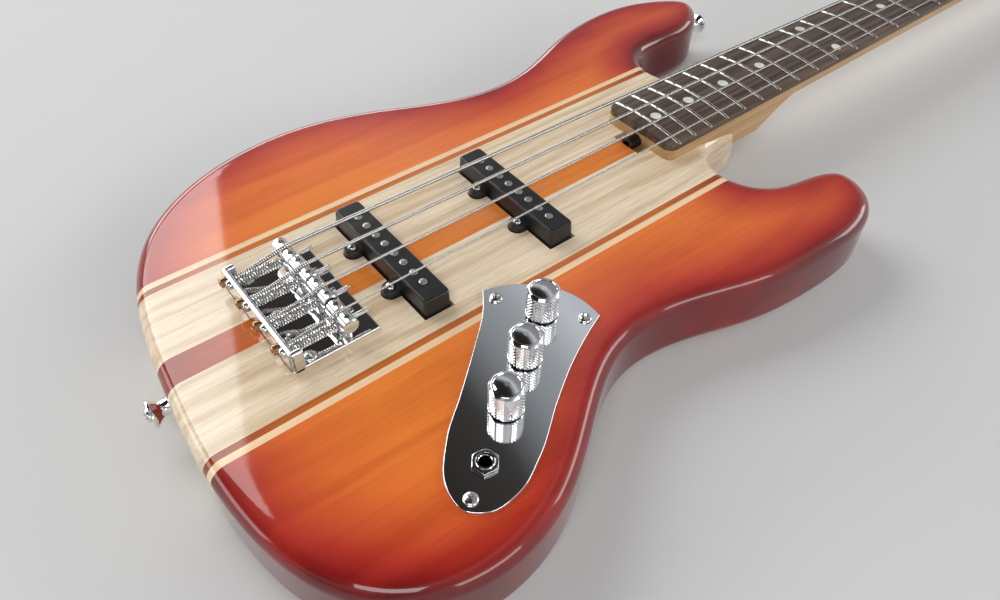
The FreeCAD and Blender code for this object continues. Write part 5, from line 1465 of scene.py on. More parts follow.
@dataclass
class Neck(SubAssembly):
    """The neck with its fingerboard, frets, dots, nut, truss rod and string retainer."""

    fret_count: int = 21
    fret_width: float = 2.4
    fret_height: float = 1.0
    fret_sink: float = 0.25
    fret_bevel: float = 1.6
    across_steps: int = 18
    profile_steps: int = 8
    dot_radius: float = 3.75
    dot_rise: float = 0.06
    dot_depth: float = 1.5
    double_dot: int = 12
    dot_spread: float = 17.2
    dot_frets: tuple[int, ...] = (3, 5, 7, 9, 12, 15, 17, 19, 21)
    dot_edge_share: float = 0.9
    fret_end_share: float = 0.15

    def fret_ring(self, x: float, y: float, share: float) -> list[Place]:
        """A fret's section across its length.

        Args:
            x: The fret's distance from the saddles.
            y: The section's distance from the centre line.
            share: How much of the full height stands there.

        Returns:
            The section's points.
        """
        base, half = LAYOUT.board_level(y), self.fret_width / 2
        ring = [(x + half, y, base - self.fret_sink), (x - half, y, base - self.fret_sink)]
        for step in range(self.profile_steps + 1):
            angle = math.pi * (1 - step / self.profile_steps)
            ring.append((x + half * math.cos(angle), y, base + self.fret_height * share * math.sin(angle)))
        return ring

    def fret(self, number: int) -> Mesh:
        """One fret, crowned with the board and filed down at its ends.

        Args:
            number: The fret's number.

        Returns:
            The fret's mesh.
        """
        x = LAYOUT.fret(number)
        half = LAYOUT.board_half(x)
        inner = half - self.fret_bevel
        sides = [-half, *np.linspace(-inner, inner, self.across_steps), half]
        shares = [self.fret_end_share, *[1.0] * self.across_steps, self.fret_end_share]
        return loft([self.fret_ring(x, y, share) for y, share in zip(sides, shares)])

    def dot(self, number: int) -> list[Mesh]:
        """The inlay behind a fret: one dot, or two at the octave.

        Args:
            number: The fret's number.

        Returns:
            The dots' meshes.
        """
        x = (LAYOUT.fret(number) + LAYOUT.fret(number - 1)) / 2
        sides = both(self.dot_spread) if number == self.double_dot else (0.0,)
        profile = [(0, -self.dot_depth), (self.dot_radius, -self.dot_depth), (self.dot_radius, 0),
                   (self.dot_radius * self.dot_edge_share, self.dot_rise), (0, self.dot_rise)]
        made = []
        for y in sides:
            made.append(lathe(profile))
            lean = Matrix.Rotation(-math.asin(y / LAYOUT.board_crown), 4, "X")
            made[-1].transform(placed((x, y, LAYOUT.board_level(y))) @ lean)
        return made

    def build(self) -> list[Piece]:
        """Makes the neck's pieces."""
        frets = joined([self.fret(number) for number in range(1, self.fret_count + 1)])
        dots = joined([disc for number in self.dot_frets for disc in self.dot(number)])
        return [
            dressed("neck", Finishes.maple, Edges(1.0, 4, angle=40.0)),
            dressed("fingerboard", Finishes.rosewood, Edges(0.45, 3)),
            dressed("nut", Finishes.bone, Edges(0.3, 3)),
            dressed("truss_rod", Finishes.oxide, Edges(0.35, 3)),
            dressed("string_retainer", Finishes.chrome, Edges(0.7, 3)),
            new_piece("fret_wires", frets, Finishes.nickel, "frets"),
            new_piece("pearl_dots", dots, Finishes.pearl, "position_dots"),
        ]


@dataclass
class Tuners(SubAssembly):
    """Four open tuners: base plates, bushings, posts with worm wheels and keys with worms."""

    thickness: float = 14.0
    bushing: float = 8.0
    flange: float = 9.6
    flange_height: float = 1.6
    bore: float = 6.05
    post: float = 6.0
    waist_foot: float = 16.8
    waist_top: float = 27.0
    post_top: float = 29.0
    wheel_low: float = -9.0
    wheel_high: float = -5.5
    teeth: int = 16
    worm_pitch: float = 3.6
    worm_radius: float = 4.2
    addendum: float = 1.1
    tooth: float = 1.65
    draft: float = 0.28
    worm_turns: float = 3.0
    worm_level: float = -7.25
    worm_steps: int = 28
    shaft: float = 2.8
    shaft_near: float = -10.6
    shaft_far: float = 26.0
    paddle_at: float = 36.7
    paddle_length: float = 27.0
    paddle_width: float = 30.0
    paddle_thickness: float = 6.0
    paddle_steps: int = 24
    paddle_edges: Edges = Edges(2.3, 5)
    wheel_edges: Edges = Edges(0.18, 2)
    flange_chamfer: float = 0.7
    root_gap: float = 0.35
    wheel_gap: float = 0.02
    shoulder: float = 1.2
    lip: float = 0.3
    lip_gap: float = 0.1
    post_chamfer: float = 0.6
    slot_half: float = 0.9
    slot_reach: float = 8.0
    slot_depth: float = 1.4
    slot_over: float = 2.0
    thread_sink: float = 0.3
    shaft_chamfer: float = 0.4
    collar_length: float = 3.0
    collar_rise: float = 1.2

    @property
    def wheel_radius(self) -> float:
        """The pitch radius of the worm wheel."""
        return self.teeth * self.worm_pitch / math.tau

    @property
    def offset(self) -> float:
        """The distance between the post's axis and the key's."""
        return self.wheel_radius + self.worm_radius

    def sleeve(self) -> Mesh:
        """One bushing, with its flange on the front of the headstock.

        Returns:
            The bushing's mesh.
        """
        high = self.thickness + self.flange_height
        profile = [(self.bore, 0), (self.bushing, 0), (self.bushing, self.thickness),
                   (self.flange, self.thickness), (self.flange, high - self.flange_chamfer),
                   (self.flange - self.flange_chamfer, high), (self.bore, high)]
        return lathe(profile, closed=True)

    def wheel(self) -> Mesh:
        """The worm wheel, with its teeth set to mesh with the worm.

        Returns:
            The wheel's mesh.
        """
        depth = self.addendum + self.root_gap
        plan = []
        for number in range(self.teeth):
            middle = math.tau * (number + (1 + self.worm_turns) / 2) / self.teeth
            for rise, sign in ((-depth, -1), (self.addendum, -1), (self.addendum, 1), (-depth, 1)):
                half = self.tooth / 2 - self.draft * rise / self.addendum
                radius = self.wheel_radius + rise
                angle = middle + sign * half / radius
                plan.append((radius * math.cos(angle), radius * math.sin(angle)))
        return softened(prism(plan, self.wheel_low, self.wheel_high), self.wheel_edges)

    def turned_post(self) -> Mesh:
        """One post: foot, waist for the windings, cap and wheel.

        Returns:
            The post's mesh.
        """
        low, foot, cap, top = self.wheel_low - self.wheel_gap, self.waist_foot, self.waist_top, self.post_top
        waist, post, lip, chamfer = LAYOUT.post_waist, self.post, self.lip, self.post_chamfer
        profile = [(0, low), (post, low), (post, foot - self.shoulder), (waist + lip, foot),
                   (waist, foot + chamfer), (waist, cap - chamfer), (waist + lip, cap - self.lip_gap),
                   (post - lip, cap), (post, cap + lip), (post, top - chamfer), (post - chamfer, top),
                   (0, top)]
        plan = rectangle((-self.slot_half, -self.slot_reach), (self.slot_half, self.slot_reach))
        slot = prism(plan, top - self.slot_depth, top + self.slot_over)
        return joined([carved(lathe(profile), slot, "post"), self.wheel()])

    def worm(self) -> Mesh:
        """The worm's thread, a right-handed ridge along the key.

        Returns:
            The thread's mesh.
        """
        inner = self.shaft - self.thread_sink
        crest = self.worm_radius + self.addendum
        root_half = self.tooth / 2 + self.draft * (self.worm_radius - inner) / self.addendum
        crest_half = self.tooth / 2 - self.draft
        section = ((inner, -root_half), (crest, -crest_half), (crest, crest_half), (inner, root_half))
        rings = []
        for step in range(int(self.worm_turns * self.worm_steps) + 1):
            angle = math.tau * step / self.worm_steps
            along = self.worm_pitch * (step / self.worm_steps - self.worm_turns / 2)
            across, up = -math.cos(angle), math.sin(angle)
            rings.append([(self.offset + across * radius, along + shift, self.worm_level + up * radius)
                          for radius, shift in section])
        return loft(rings)

    def turned_key(self) -> Mesh:
        """One key: shaft, worm and a rounded paddle.

        Returns:
            The key's mesh.
        """
        near, far, shaft, chamfer = self.shaft_near, self.shaft_far, self.shaft, self.shaft_chamfer
        profile = [(0, near), (shaft - chamfer, near), (shaft, near + chamfer),
                   (shaft, far - self.collar_length), (shaft + self.collar_rise, far), (0, far)]
        rod = lathe(profile, (self.offset, 0, self.worm_level), Axis.Y)
        round_half = self.paddle_length / 2
        reach = self.paddle_width / 2 - round_half
        ends = [(self.offset + shift, self.paddle_at) for shift in both(reach)]
        low, high = (self.worm_level + shift for shift in both(self.paddle_thickness / 2))
        blank = prism(slot_outline(*ends, round_half, self.paddle_steps), low, high)
        return joined([rod, self.worm(), softened(blank, self.paddle_edges)])

    def build(self) -> list[Piece]:
        """Makes all the tuners."""
        places = [LAYOUT.tuner(index) for index in STRINGS]
        pieces = [
            dressed("tuner_plates", Finishes.chrome, Edges(0.35, 3)),
            new_piece("bushing_sleeves", repeated(self.sleeve(), places), Finishes.chrome, "tuner_bushings"),
        ]
        for name, place in zip(STRING_NAMES, places):
            for kind, master in (("tuner_key", self.turned_key()), ("tuner_post", self.turned_post())):
                node = f"{kind}_{name}"
                pieces.append(new_piece(f"{node}_turned", repeated(master, [place]), Finishes.chrome, node))
        return pieces


@dataclass
class StringSet(SubAssembly):
    """Four wound strings from their ball ends over the saddles and the nut to their posts."""

    anchor_x: float = -37.0
    kink_x: float = -25.95
    anchor_shift: float = 4.2
    anchor_level: float = 52.6
    saddle_tops: tuple[float, ...] = (60.4, 61.4, 61.4, 60.4)
    nut_levels: tuple[float, ...] = (58.225, 58.825, 58.825, 58.225)
    crest_rise: float = 0.22
    leg: float = 5.0
    wind_top: float = 58.7
    wind_space: float = 0.3
    turns: int = 2
    steps_per_turn: int = 24
    wraps: tuple[float, ...] = (1.35, 1.25, 1.15, 1.05)
    ball_radius: float = 2.9
    ball_bore: float = 1.2
    ball_back: float = -39.1
    ball_length: float = 3.5
    ball_chamfer: float = 0.5
    sides: int = 14

    def windings(self, index: int) -> list[Vector]:
        """Control points of a string's turns round its post.

        Args:
            index: The string's number.

        Returns:
            The points, from the first turn on.
        """
        x, y = LAYOUT.post(index)
        half_step = math.pi / self.steps_per_turn
        radius = LAYOUT.wind_radius(index) / (0.5 + 0.5 * math.cos(half_step))
        thick = LAYOUT.gauges[index]
        points = []
        for step in range(self.turns * self.steps_per_turn + 1):
            angle = half_step * 2 * step - math.pi / 2
            level = self.wind_top - thick / 2 - (thick + self.wind_space) * step / self.steps_per_turn
            points.append(Vector((x + radius * math.cos(angle), y + radius * math.sin(angle), level)))
        return points

    def route(self, index: int) -> list[Vector]:
        """Control points of a string's whole way, with one more each side of a bend.

        Args:
            index: The string's number.

        Returns:
            The points, from the ball end to the post.
        """
        half = LAYOUT.gauges[index] / 2
        side = LAYOUT.side(index, 0) + self.anchor_shift
        nut_x = LAYOUT.scale + LAYOUT.nut_length / 2
        anchor = Vector((self.anchor_x, side, self.anchor_level))
        kink = Vector((self.kink_x, side, self.anchor_level))
        crest = Vector((0, LAYOUT.side(index, 0), self.saddle_tops[index] + half + self.crest_rise))
        nut = Vector((nut_x, LAYOUT.side(index, nut_x), self.nut_levels[index] + half))
        turns = self.windings(index)
        stops = [anchor, kink, crest, nut, turns[0]]
        points = [anchor]
        for before, bend, after in zip(stops, stops[1:], stops[2:]):
            points.append(bend + (before - bend).normalized() * self.leg)
            points.append(bend)
            points.append(bend + (after - bend).normalized() * self.leg)
        x, y = LAYOUT.post(index)
        return points + turns + [Vector((x, y, turns[-1].z))]

    def halves(self, index: int) -> list[Piece]:
        """A string in two stretches that meet on its saddle.

        Args:
            index: The string's number.

        Returns:
            The stretch behind the saddle and the one from there to the post.
        """
        name, radius = STRING_NAMES[index], LAYOUT.gauges[index] / 2
        path = smooth_path(self.route(index))
        crest = min(range(len(path)), key=lambda k: abs(path[k].x))
        made = []
        for part, span, held_x in (("tail", slice(0, crest + 1), self.anchor_x),
                                   ("length", slice(crest, None), LAYOUT.scale)):
            mesh = tube(path, radius, self.sides, self.wraps[index], span)
            made.append(new_piece(f"string_{name}_{part}", mesh, Finishes.wire, "strings",
                                  follows=f"saddle_{name}"))
        return made

    def ball(self, index: int) -> Mesh:
        """A string's ball end, a small bored barrel behind the lip.

        Args:
            index: The string's number.

        Returns:
            The barrel's mesh.
        """
        bore, radius, far, chamfer = self.ball_bore, self.ball_radius, self.ball_length, self.ball_chamfer
        profile = [(bore, 0), (radius - chamfer, 0), (radius, chamfer), (radius, far - chamfer),
                   (radius - chamfer, far), (bore, far)]
        at = (self.ball_back, LAYOUT.side(index, 0) + self.anchor_shift, self.anchor_level)
        return lathe(profile, at, Axis.X, closed=True)

    def build(self) -> list[Piece]:
        """Makes the strings and their ball ends."""
        pieces = [piece for index in STRINGS for piece in self.halves(index)]
        balls = joined([self.ball(index) for index in STRINGS])
        return [*pieces, new_piece("string_balls", balls, Finishes.brass, "strings")]


@dataclass
class Bridge(SubAssembly):
    """The bridge plate with its four barrel saddles, their screws and springs."""

    back: float = -35.5
    front: float = 16.5
    half_width: float = 39.5
    plate_thickness: float = 2.0
    lip_height: float = 14.5
    lip_thickness: float = 3.6
    tab_length: float = 8.0
    plate_round: float = 0.8
    lip_round: float = 1.7
    saddle_radius: float = 4.75
    saddle_length: float = 19.2
    saddle_levels: tuple[float, ...] = (56.65, 57.65, 57.65, 56.65)
    chamfer: float = 0.6
    waist: float = 3.6
    groove: float = 1.0
    groove_slope: float = 0.5
    barrel_sides: int = 64
    barrel_edges: Edges = Edges(0.12, 2)
    height_spread: float = 5.6
    height_radius: float = 1.5
    height_drop: float = 0.4
    height_foot: float = 46.05
    height_sides: int = 20
    thread_pitch: float = 0.7
    thread_share: float = 0.82
    thread_end: float = 0.6
    foot_share: float = 0.8
    top_chamfer: float = 0.25
    bore_gap: float = 0.06
    bore_sides: int = 24
    key_radius: float = 0.75
    key_depth: float = 1.4
    key_over: float = 1.0
    screw_shift: float = -2.2
    screw_level: float = 55.0
    screw_seat: float = -35.55
    screw_tip: float = 15.0
    spring_start: float = -31.85
    spring_end: float = -4.8
    spring_radius: float = 2.55
    spring_wire: float = 0.45
    spring_turns: int = 17
    spring_steps: int = 16
    spring_sides: int = 8

    def plate(self) -> Mesh:
        """The plate with its upturned lip and the two tabs at the lip's ends.

        Returns:
            The plate's mesh.
        """
        back, half, inner = self.back, self.half_width, self.half_width - self.lip_thickness
        tab = back + self.tab_length
        flat, tall = ((LAYOUT.top, LAYOUT.top + height) for height in (self.plate_thickness, self.lip_height))
        walls = (((back, -half), (back + self.lip_thickness, half)), ((back, inner), (tab, half)),
                 ((back, -half), (tab, -inner)))
        floor = crowned_block((back, -half), (self.front, half), flat, self.plate_round, self.plate_round)
        lips = [crowned_block(*wall, tall, self.lip_round, self.lip_round) for wall in walls]
        return joined([floor, *lips])

    def saddle(self) -> Mesh:
        """One barrel, round the origin along the bridge, bored for its height screws.

        Returns:
            The barrel's mesh.
        """
        half, radius, run = self.saddle_length / 2, self.saddle_radius, self.waist / 2
        chamfer, slope, waist = self.chamfer, self.groove_slope, radius - self.groove
        profile = [(0, -half), (radius - chamfer, -half), (radius, chamfer - half), (radius, -run - slope),
                   (waist, slope - run), (waist, run - slope), (radius, run + slope),
                   (radius, half - chamfer), (radius - chamfer, half), (0, half)]
        bore = pin(self.height_radius + self.bore_gap, -radius * 2, radius * 2)
        bores = [lathe(bore, (0, side, 0), Axis.Z, self.bore_sides) for side in both(self.height_spread)]
        return carved(lathe(profile, (0, 0, 0), Axis.Y, self.barrel_sides), joined(bores), "saddle")

    def height_screw(self, length: float) -> Mesh:
        """A grub screw with its top at the origin and a hexagon socket in it.

        Args:
            length: The screw's length.

        Returns:
            The screw's mesh.
        """
        root, crest = self.height_radius * self.thread_share, self.height_radius
        profile = [(0, -length), (root * self.foot_share, -length)]
        level = self.thread_end - length
        while level < -2 * self.thread_end:
            profile += [(root, level), (crest, level + self.thread_pitch / 2)]
            level += self.thread_pitch
        profile += [(crest, -self.thread_end), (crest - self.top_chamfer, 0), (0, 0)]
        socket = prism(regular(self.key_radius, 6), -self.key_depth, self.key_over)
        return carved(lathe(profile, segments=self.height_sides), socket, "grub")

    def spring(self, index: int) -> Piece:
        """A coil round one intonation screw, which stretches between the lip and its saddle.

        Args:
            index: The string's number.

        Returns:
            The spring as a piece.
        """
        name, y = STRING_NAMES[index], LAYOUT.side(index, 0) + self.screw_shift
        count = self.spring_turns * self.spring_steps
        run = self.spring_end - self.spring_start - 2 * self.spring_wire
        path = []
        for step in range(count + 1):
            angle = math.tau * step / self.spring_steps
            x = self.spring_start + self.spring_wire + run * step / count
            path.append(Vector((x, y + self.spring_radius * math.cos(angle),
                                self.screw_level + self.spring_radius * math.sin(angle))))
        mesh = tube(path, self.spring_wire, self.spring_sides)
        return new_piece(f"spring_{name}", mesh, Finishes.steel, "intonation_springs",
                         follows=f"saddle_{name}")

    def station(self, index: int) -> list[Piece]:
        """One string's saddle, height screws, intonation screw and spring.

        Args:
            index: The string's number.

        Returns:
            The pieces.
        """
        name, y, level = STRING_NAMES[index], LAYOUT.side(index, 0), self.saddle_levels[index]
        top = level + self.saddle_radius - self.height_drop
        grubs = [placed((0, y + side, top)) for side in both(self.height_spread)]
        long_screw = Screw(2.9, 2.6, 1.5, self.screw_tip - self.screw_seat, pitch=0.9, tip=Tip.BLUNT)
        seat = [placed((self.screw_seat, y + self.screw_shift, self.screw_level), Axis.MINUS_X)]
        body, turning = f"saddle_{name}", f"intonation_screw_{name}"
        return [
            new_piece(f"{body}_barrel", repeated(self.saddle(), [placed((0, y, level))]), Finishes.chrome,
                      body, self.barrel_edges),
            new_piece(f"height_screws_{name}", repeated(self.height_screw(top - self.height_foot), grubs),
                      Finishes.steel, f"saddle_screws_{name}"),
            new_piece(f"{turning}_turned", repeated(long_screw.mesh(), seat), Finishes.steel, turning),
            self.spring(index),
        ]

    def build(self) -> list[Piece]:
        """Makes the bridge."""
        pieces = [new_piece("bridge_plate_bent", self.plate(), Finishes.chrome, "bridge_plate")]
        for index in STRINGS:
            pieces += self.station(index)
        return pieces


@dataclass
class Pickup(SubAssembly):
    """One single-coil pickup: cover with two ears, pole pieces, winding, foam and fixing screws."""

    name: str
    centre: float
    length: float
    width: float = 18.6
    low: float = 34.0
    high: float = 55.5
    draft: float = 1.0
    corner: float = 2.6
    edge_round: float = 1.3
    ear_reach: float = 13.0
    ear_side: float = 20.0
    ear_radius: float = 5.2
    ear_low: float = 40.6
    ear_high: float = 48.6
    ear_edges: Edges = Edges(1.0, 4)
    pole_radius: float = 2.4
    pole_spacing: float = 19.2
    pole_pair: float = 4.6
    pole_low: float = 41.55
    pole_high: float = 55.9
    pole_dome: tuple[Spot, ...] = ((1.0, 0.45), (0.93, 0.2), (0.75, 0.06), (0.4, 0.0))
    screw_turn: float = 31.0
    foam_size: Spot = (11.0, 60.0)
    foam_levels: Spot = (22.0, 41.5)
    foam_round: float = 1.5

    @property
    def body(self) -> str:
        """The body that the pickup moves with."""
        return f"{self.name}_pickup"

    def corners(self, width: float, length: float) -> tuple[Spot, Spot]:
        """The corners of a block that lies round the pickup's middle."""
        return (self.centre - width / 2, -length / 2), (self.centre + width / 2, length / 2)

    def ears(self, radius: float) -> list[list[Spot]]:
        """The outlines of both ears at a radius."""
        starts = [(self.centre - self.ear_reach, side) for side in both(self.ear_side)]
        return [slot_outline(start, (self.centre, start[1]), radius) for start in starts]

    def cover(self) -> Mesh:
        """The drafted cover with its rounded top edge, and its ears.

        Returns:
            The cover's mesh.
        """
        shell = crowned_block(*self.corners(self.width, self.length), (self.low, self.high), self.corner,
                              self.edge_round, self.draft)
        ears = [softened(prism(plan, self.ear_low, self.ear_high), self.ear_edges)
                for plan in self.ears(self.ear_radius)]
        return joined([shell, *ears])

    def poles(self) -> Mesh:
        """Two domed pole pieces under each string.

        Returns:
            All the pole pieces as one mesh.
        """
        radius, tall = self.pole_radius, self.pole_high - self.pole_low
        dome = [(radius * share, tall - drop) for share, drop in self.pole_dome]
        sides = [share * self.pole_spacing + shift for share in STRING_SHARES
                 for shift in both(self.pole_pair)]
        master = lathe([(0, 0), (radius, 0), *dome, (0, tall)])
        return repeated(master, [placed((self.centre, y, self.pole_low)) for y in sides])

    def foam(self) -> Piece:
        """The foam block that pushes the pickup up, which in the real pickup gives way as it is screwed down;
        here it is a fixed block.

        Returns:
            The block as a piece.
        """
        near, far = self.corners(*self.foam_size)
        mesh = crowned_block(near, far, self.foam_levels, self.foam_round, self.foam_round)
        piece = new_piece(f"{self.body}_foam_block", mesh, Finishes.foam, "pickup_foam", follows=self.body)
        return piece

    def screws(self) -> Mesh:
        """The screws through the ears."""
        spots = [(self.centre - self.ear_reach, side, self.ear_high) for side in both(self.ear_side)]
        places = [placed(at, turn=self.screw_turn * k) for k, at in enumerate(spots)]
        return repeated(Screw(3.0, 2.0, 1.7, 34.0).mesh(), places)

    def build(self) -> list[Piece]:
        """Makes the pickup."""
        body = self.body
        return [
            self.foam(),
            new_piece(f"{body}_shell", self.cover(), Finishes.black, f"{body}_cover"),
            new_piece(f"{body}_pole_pieces", self.poles(), Finishes.pole, f"{body}_poles"),
            new_piece(f"{body}_fixings", self.screws(), Finishes.steel, f"{body}_screws"),
            dressed(f"{body}_coil", Finishes.copper, Edges(0.8, 3)),
        ]


# Points of the control plate's edge, as shares of its length from the tail and of its width from outside.
PLATE_ROUND_SHARES = (
    (0.993, 0.518), (0.735, 0.379), (0.566, 0.257), (0.356, 0.086), (0.202, 0.004), (0.073, 0.008),
    (0.008, 0.072), (0.007, 0.192), (0.124, 0.389), (0.285, 0.544), (0.499, 0.757), (0.602, 0.866),
    (0.690, 1.000),
)
PLATE_HEAD_SHARES = ((0.690, 1.000), (0.876, 0.888), (0.960, 0.770), (0.993, 0.518))

# The hook-up leads' ways, from the pickups by way of the controls to the jack.
LEAD_ROUTES = (
    ((139.6, -38.0, 27.05), (48.7, -38.0, 27.05), (48.7, -102.9, 27.05), (60.2, -102.9, 27.05),
     (60.2, -102.9, 34.95)),
    ((48.7, -34.5, 24.95), (48.7, -121.8, 24.95), (40.6, -121.8, 24.95), (40.6, -121.8, 34.95)),
    ((32.6, -121.8, 34.95), (32.6, -121.8, 23.9), (9.0, -134.6, 23.9), (9.0, -134.6, 42.35)),
)


@dataclass
class ControlPanel(SubAssembly):
    """The control plate with its potentiometers, knobs, nuts, jack and leads.

    A knob's foot is given as insets and rises, its head as insets and drops from its top.
    """

    plate_size: Spot = (131.0, 112.0)
    plate_corner: Spot = (-14.0, -162.5)
    plate_steps: int = 10
    plate_edges: Edges = Edges(0.5, 4, angle=50.0)
    first: Spot = (91.8, -84.0)
    step: Spot = (-27.6, -18.9)
    knobs: tuple[str, ...] = ("knob_neck_volume", "knob_bridge_volume", "knob_tone")
    knob_low: float = 46.6
    knob_high: float = 64.6
    knob_radius: float = 9.3
    knob_foot: tuple[Spot, ...] = ((0.5, 0.0), (0.1, 0.4))
    knob_head: tuple[Spot, ...] = ((0.1, 1.45), (1.2, 0.2), (1.6, 0.0), (2.2, 0.0), (2.5, 0.4))
    knob_crown: float = 0.8
    crown_rows: int = 6
    knob_hollow: Place = (7.7, -1.0, 7.0)
    knob_bore: Place = (3.0, -2.0, 11.0)
    bore_sides: int = 24
    knurl_span: Spot = (0.8, 16.4)
    knurl_depth: float = 0.7
    knurl_around: int = 60
    knurl_rows: int = 15
    nut_across: float = 12.6
    nut_height: float = 2.4
    nut_inset: float = 0.2
    nut_slope: float = 1.6
    nut_collar: float = 2.0
    nut_gap: float = 0.05
    nut_turn: float = 17.0
    nut_turn_step: float = 11.0
    jack_low: float = 29.2
    jack_flange_low: float = 42.4
    jack_high: float = 48.2
    jack_radius: float = 4.7
    jack_bore: float = 3.2
    jack_flange: float = 7.5
    jack_thread: float = 0.35
    jack_pitch: float = 0.6
    jack_lead: float = 0.2
    jack_rim: float = 0.9
    jack_chamfer: float = 0.4
    jack_mouth: float = 0.3
    hole_gap: float = 0.1
    hole_span: Spot = (-1.0, 9.3)
    overcut: float = 1.0
    lead_radius: float = 1.0
    lead_sides: int = 12

    def spot(self, index: int) -> Spot:
        """The place of a control in plan; the jack comes after the knobs."""
        return self.first[0] + self.step[0] * index, self.first[1] + self.step[1] * index

    def plate(self) -> Mesh:
        """The control plate, with a fine rounded edge.

        Returns:
            The plate's mesh.
        """
        runs = [open_spline(np.array(shares) * self.plate_size + self.plate_corner, self.plate_steps)
                for shares in (PLATE_ROUND_SHARES, PLATE_HEAD_SHARES)]
        outline = np.vstack([run[:-1] for run in runs])[::-1]
        sheet = softened(prism(outline.tolist(), LAYOUT.top, LAYOUT.plate_top), self.plate_edges)
        hole = pin(self.jack_radius + self.hole_gap, *self.hole_span)
        drill = lathe(hole, (*self.spot(len(self.knobs)), LAYOUT.top))
        return carved(sheet, drill, "control_plate_sheet")

    def knob_rings(self) -> list[tuple[float, float, bool]]:
        """A knob's rings from its foot to the middle of its top.

        Returns:
            Each ring's radius and level, and whether it is knurled.
        """
        tall, outer = self.knob_high - self.knob_low, self.knob_radius
        rings = [(outer - inset, rise, False) for inset, rise in self.knob_foot]
        rings += [(outer, level, True) for level in np.linspace(*self.knurl_span, self.knurl_rows)]
        rings += [(outer - inset, tall - drop, False) for inset, drop in self.knob_head]
        radius, level, _ = rings[-1]
        for share in np.linspace(1.0, 0.0, self.crown_rows, endpoint=False)[1:]:
            rings.append((radius * share, level + self.knob_crown * (1 - share ** 2), False))
        return rings

    def drum(self) -> Mesh:
        """A knob's drum with a diamond knurl between two plain rings, and its dished and crowned top.

        Returns:
            The drum's mesh.
        """
        shape = bmesh.new()
        rows = []
        for row, (radius, level, cut) in enumerate(self.knob_rings()):
            made = []
            for k in range(self.knurl_around):
                angle = math.tau * k / self.knurl_around
                reach = radius - (self.knurl_depth if cut and (row + k) % 2 else 0.0)
                at = (reach * math.cos(angle) * MM, reach * math.sin(angle) * MM, level * MM)
                made.append(shape.verts.new(at))
            rows.append(made)
        for row, (ring, above) in enumerate(zip(rows, rows[1:])):
            for k in range(self.knurl_around):
                ahead = (k + 1) % self.knurl_around
                a, b, c, d = ring[k], ring[ahead], above[ahead], above[k]
                for face in ((a, b, c), (a, c, d)) if (row + k) % 2 else ((a, b, d), (b, c, d)):
                    shape.faces.new(face)
        shape.faces.new(rows[-1])
        shape.faces.new(rows[0][::-1])
        return mesh_of(shape, "knob")

    def knob(self) -> Mesh:
        """A knob, hollowed from below for its nut and bored for its shaft."""
        cutters = [lathe(pin(*self.knob_hollow)), lathe(pin(*self.knob_bore), segments=self.bore_sides)]
        return carved(self.drum(), joined(cutters), "knob")

    def jack(self) -> Mesh:
        """The jack's threaded barrel and its flange under the plate.

        Returns:
            The jack's mesh.
        """
        bore, radius, flange, high = self.jack_bore, self.jack_radius, self.jack_flange, self.jack_high
        profile = [(bore, self.jack_low), (radius, self.jack_low), (radius, self.jack_flange_low),
                   (flange, self.jack_flange_low), (flange, LAYOUT.top), (radius, LAYOUT.top)]
        level = LAYOUT.top + self.jack_lead
        while level < high - self.jack_rim:
            profile += [(radius - self.jack_thread, level), (radius, level + self.jack_pitch / 2)]
            level += self.jack_pitch
        profile += [(radius, high - self.jack_chamfer), (radius - self.jack_chamfer, high),
                    (bore + self.jack_mouth, high), (bore, high - self.jack_mouth)]
        return lathe(profile, (*self.spot(len(self.knobs)), 0), Axis.Z, closed=True)

    def nuts(self) -> Mesh:
        """The hexagon nuts under the knobs and on the jack, with their corners turned off.

        Returns:
            All the nuts as one mesh.
        """
        inner, high, over = self.nut_across / 2, self.nut_height, self.nut_height + self.overcut
        corner = inner / math.cos(math.pi / 6)
        rim, beyond = inner - self.nut_inset, corner + self.nut_collar
        collar = [(rim, over), (beyond, over), (beyond, high - self.nut_slope), (rim, high)]
        blank = carved(prism(regular(corner, 6), 0, high), lathe(collar, closed=True), "nut_blank")
        nut = carved(blank, lathe(pin(self.jack_radius + self.nut_gap, -self.overcut, over)), "nut")
        spots = [(*self.spot(index), LAYOUT.plate_top) for index in range(len(self.knobs) + 1)]
        return repeated(nut, [placed(at, turn=self.nut_turn + self.nut_turn_step * k)
                              for k, at in enumerate(spots)])

    def leads(self) -> Mesh:
        """The hook-up leads."""
        routes = [smooth_path([Vector(at) for at in route]) for route in LEAD_ROUTES]
        return joined([tube(route, self.lead_radius, self.lead_sides) for route in routes])

    def build(self) -> list[Piece]:
        """Makes the panel and what is under it."""
        pieces = [
            new_piece("control_plate_sheet", self.plate(), Finishes.chrome, "control_plate"),
            dressed("potentiometers", Finishes.pot, Edges(0.4, 3)),
            new_piece("hexagon_nuts", self.nuts(), Finishes.chrome, "control_nuts", Edges(0.15, 2)),
            new_piece("jack_barrel", self.jack(), Finishes.chrome, "jack"),
            new_piece("lead_wires", self.leads(), Finishes.insulation, "hookup_leads"),
        ]
        for index, node in enumerate(self.knobs):
            place = placed((*self.spot(index), self.knob_low))
            pieces.append(new_piece(f"{node}_knurled", repeated(self.knob(), [place]), Finishes.chrome, node,
                                    Edges(0.0, smooth_angle=28.0)))
        return pieces


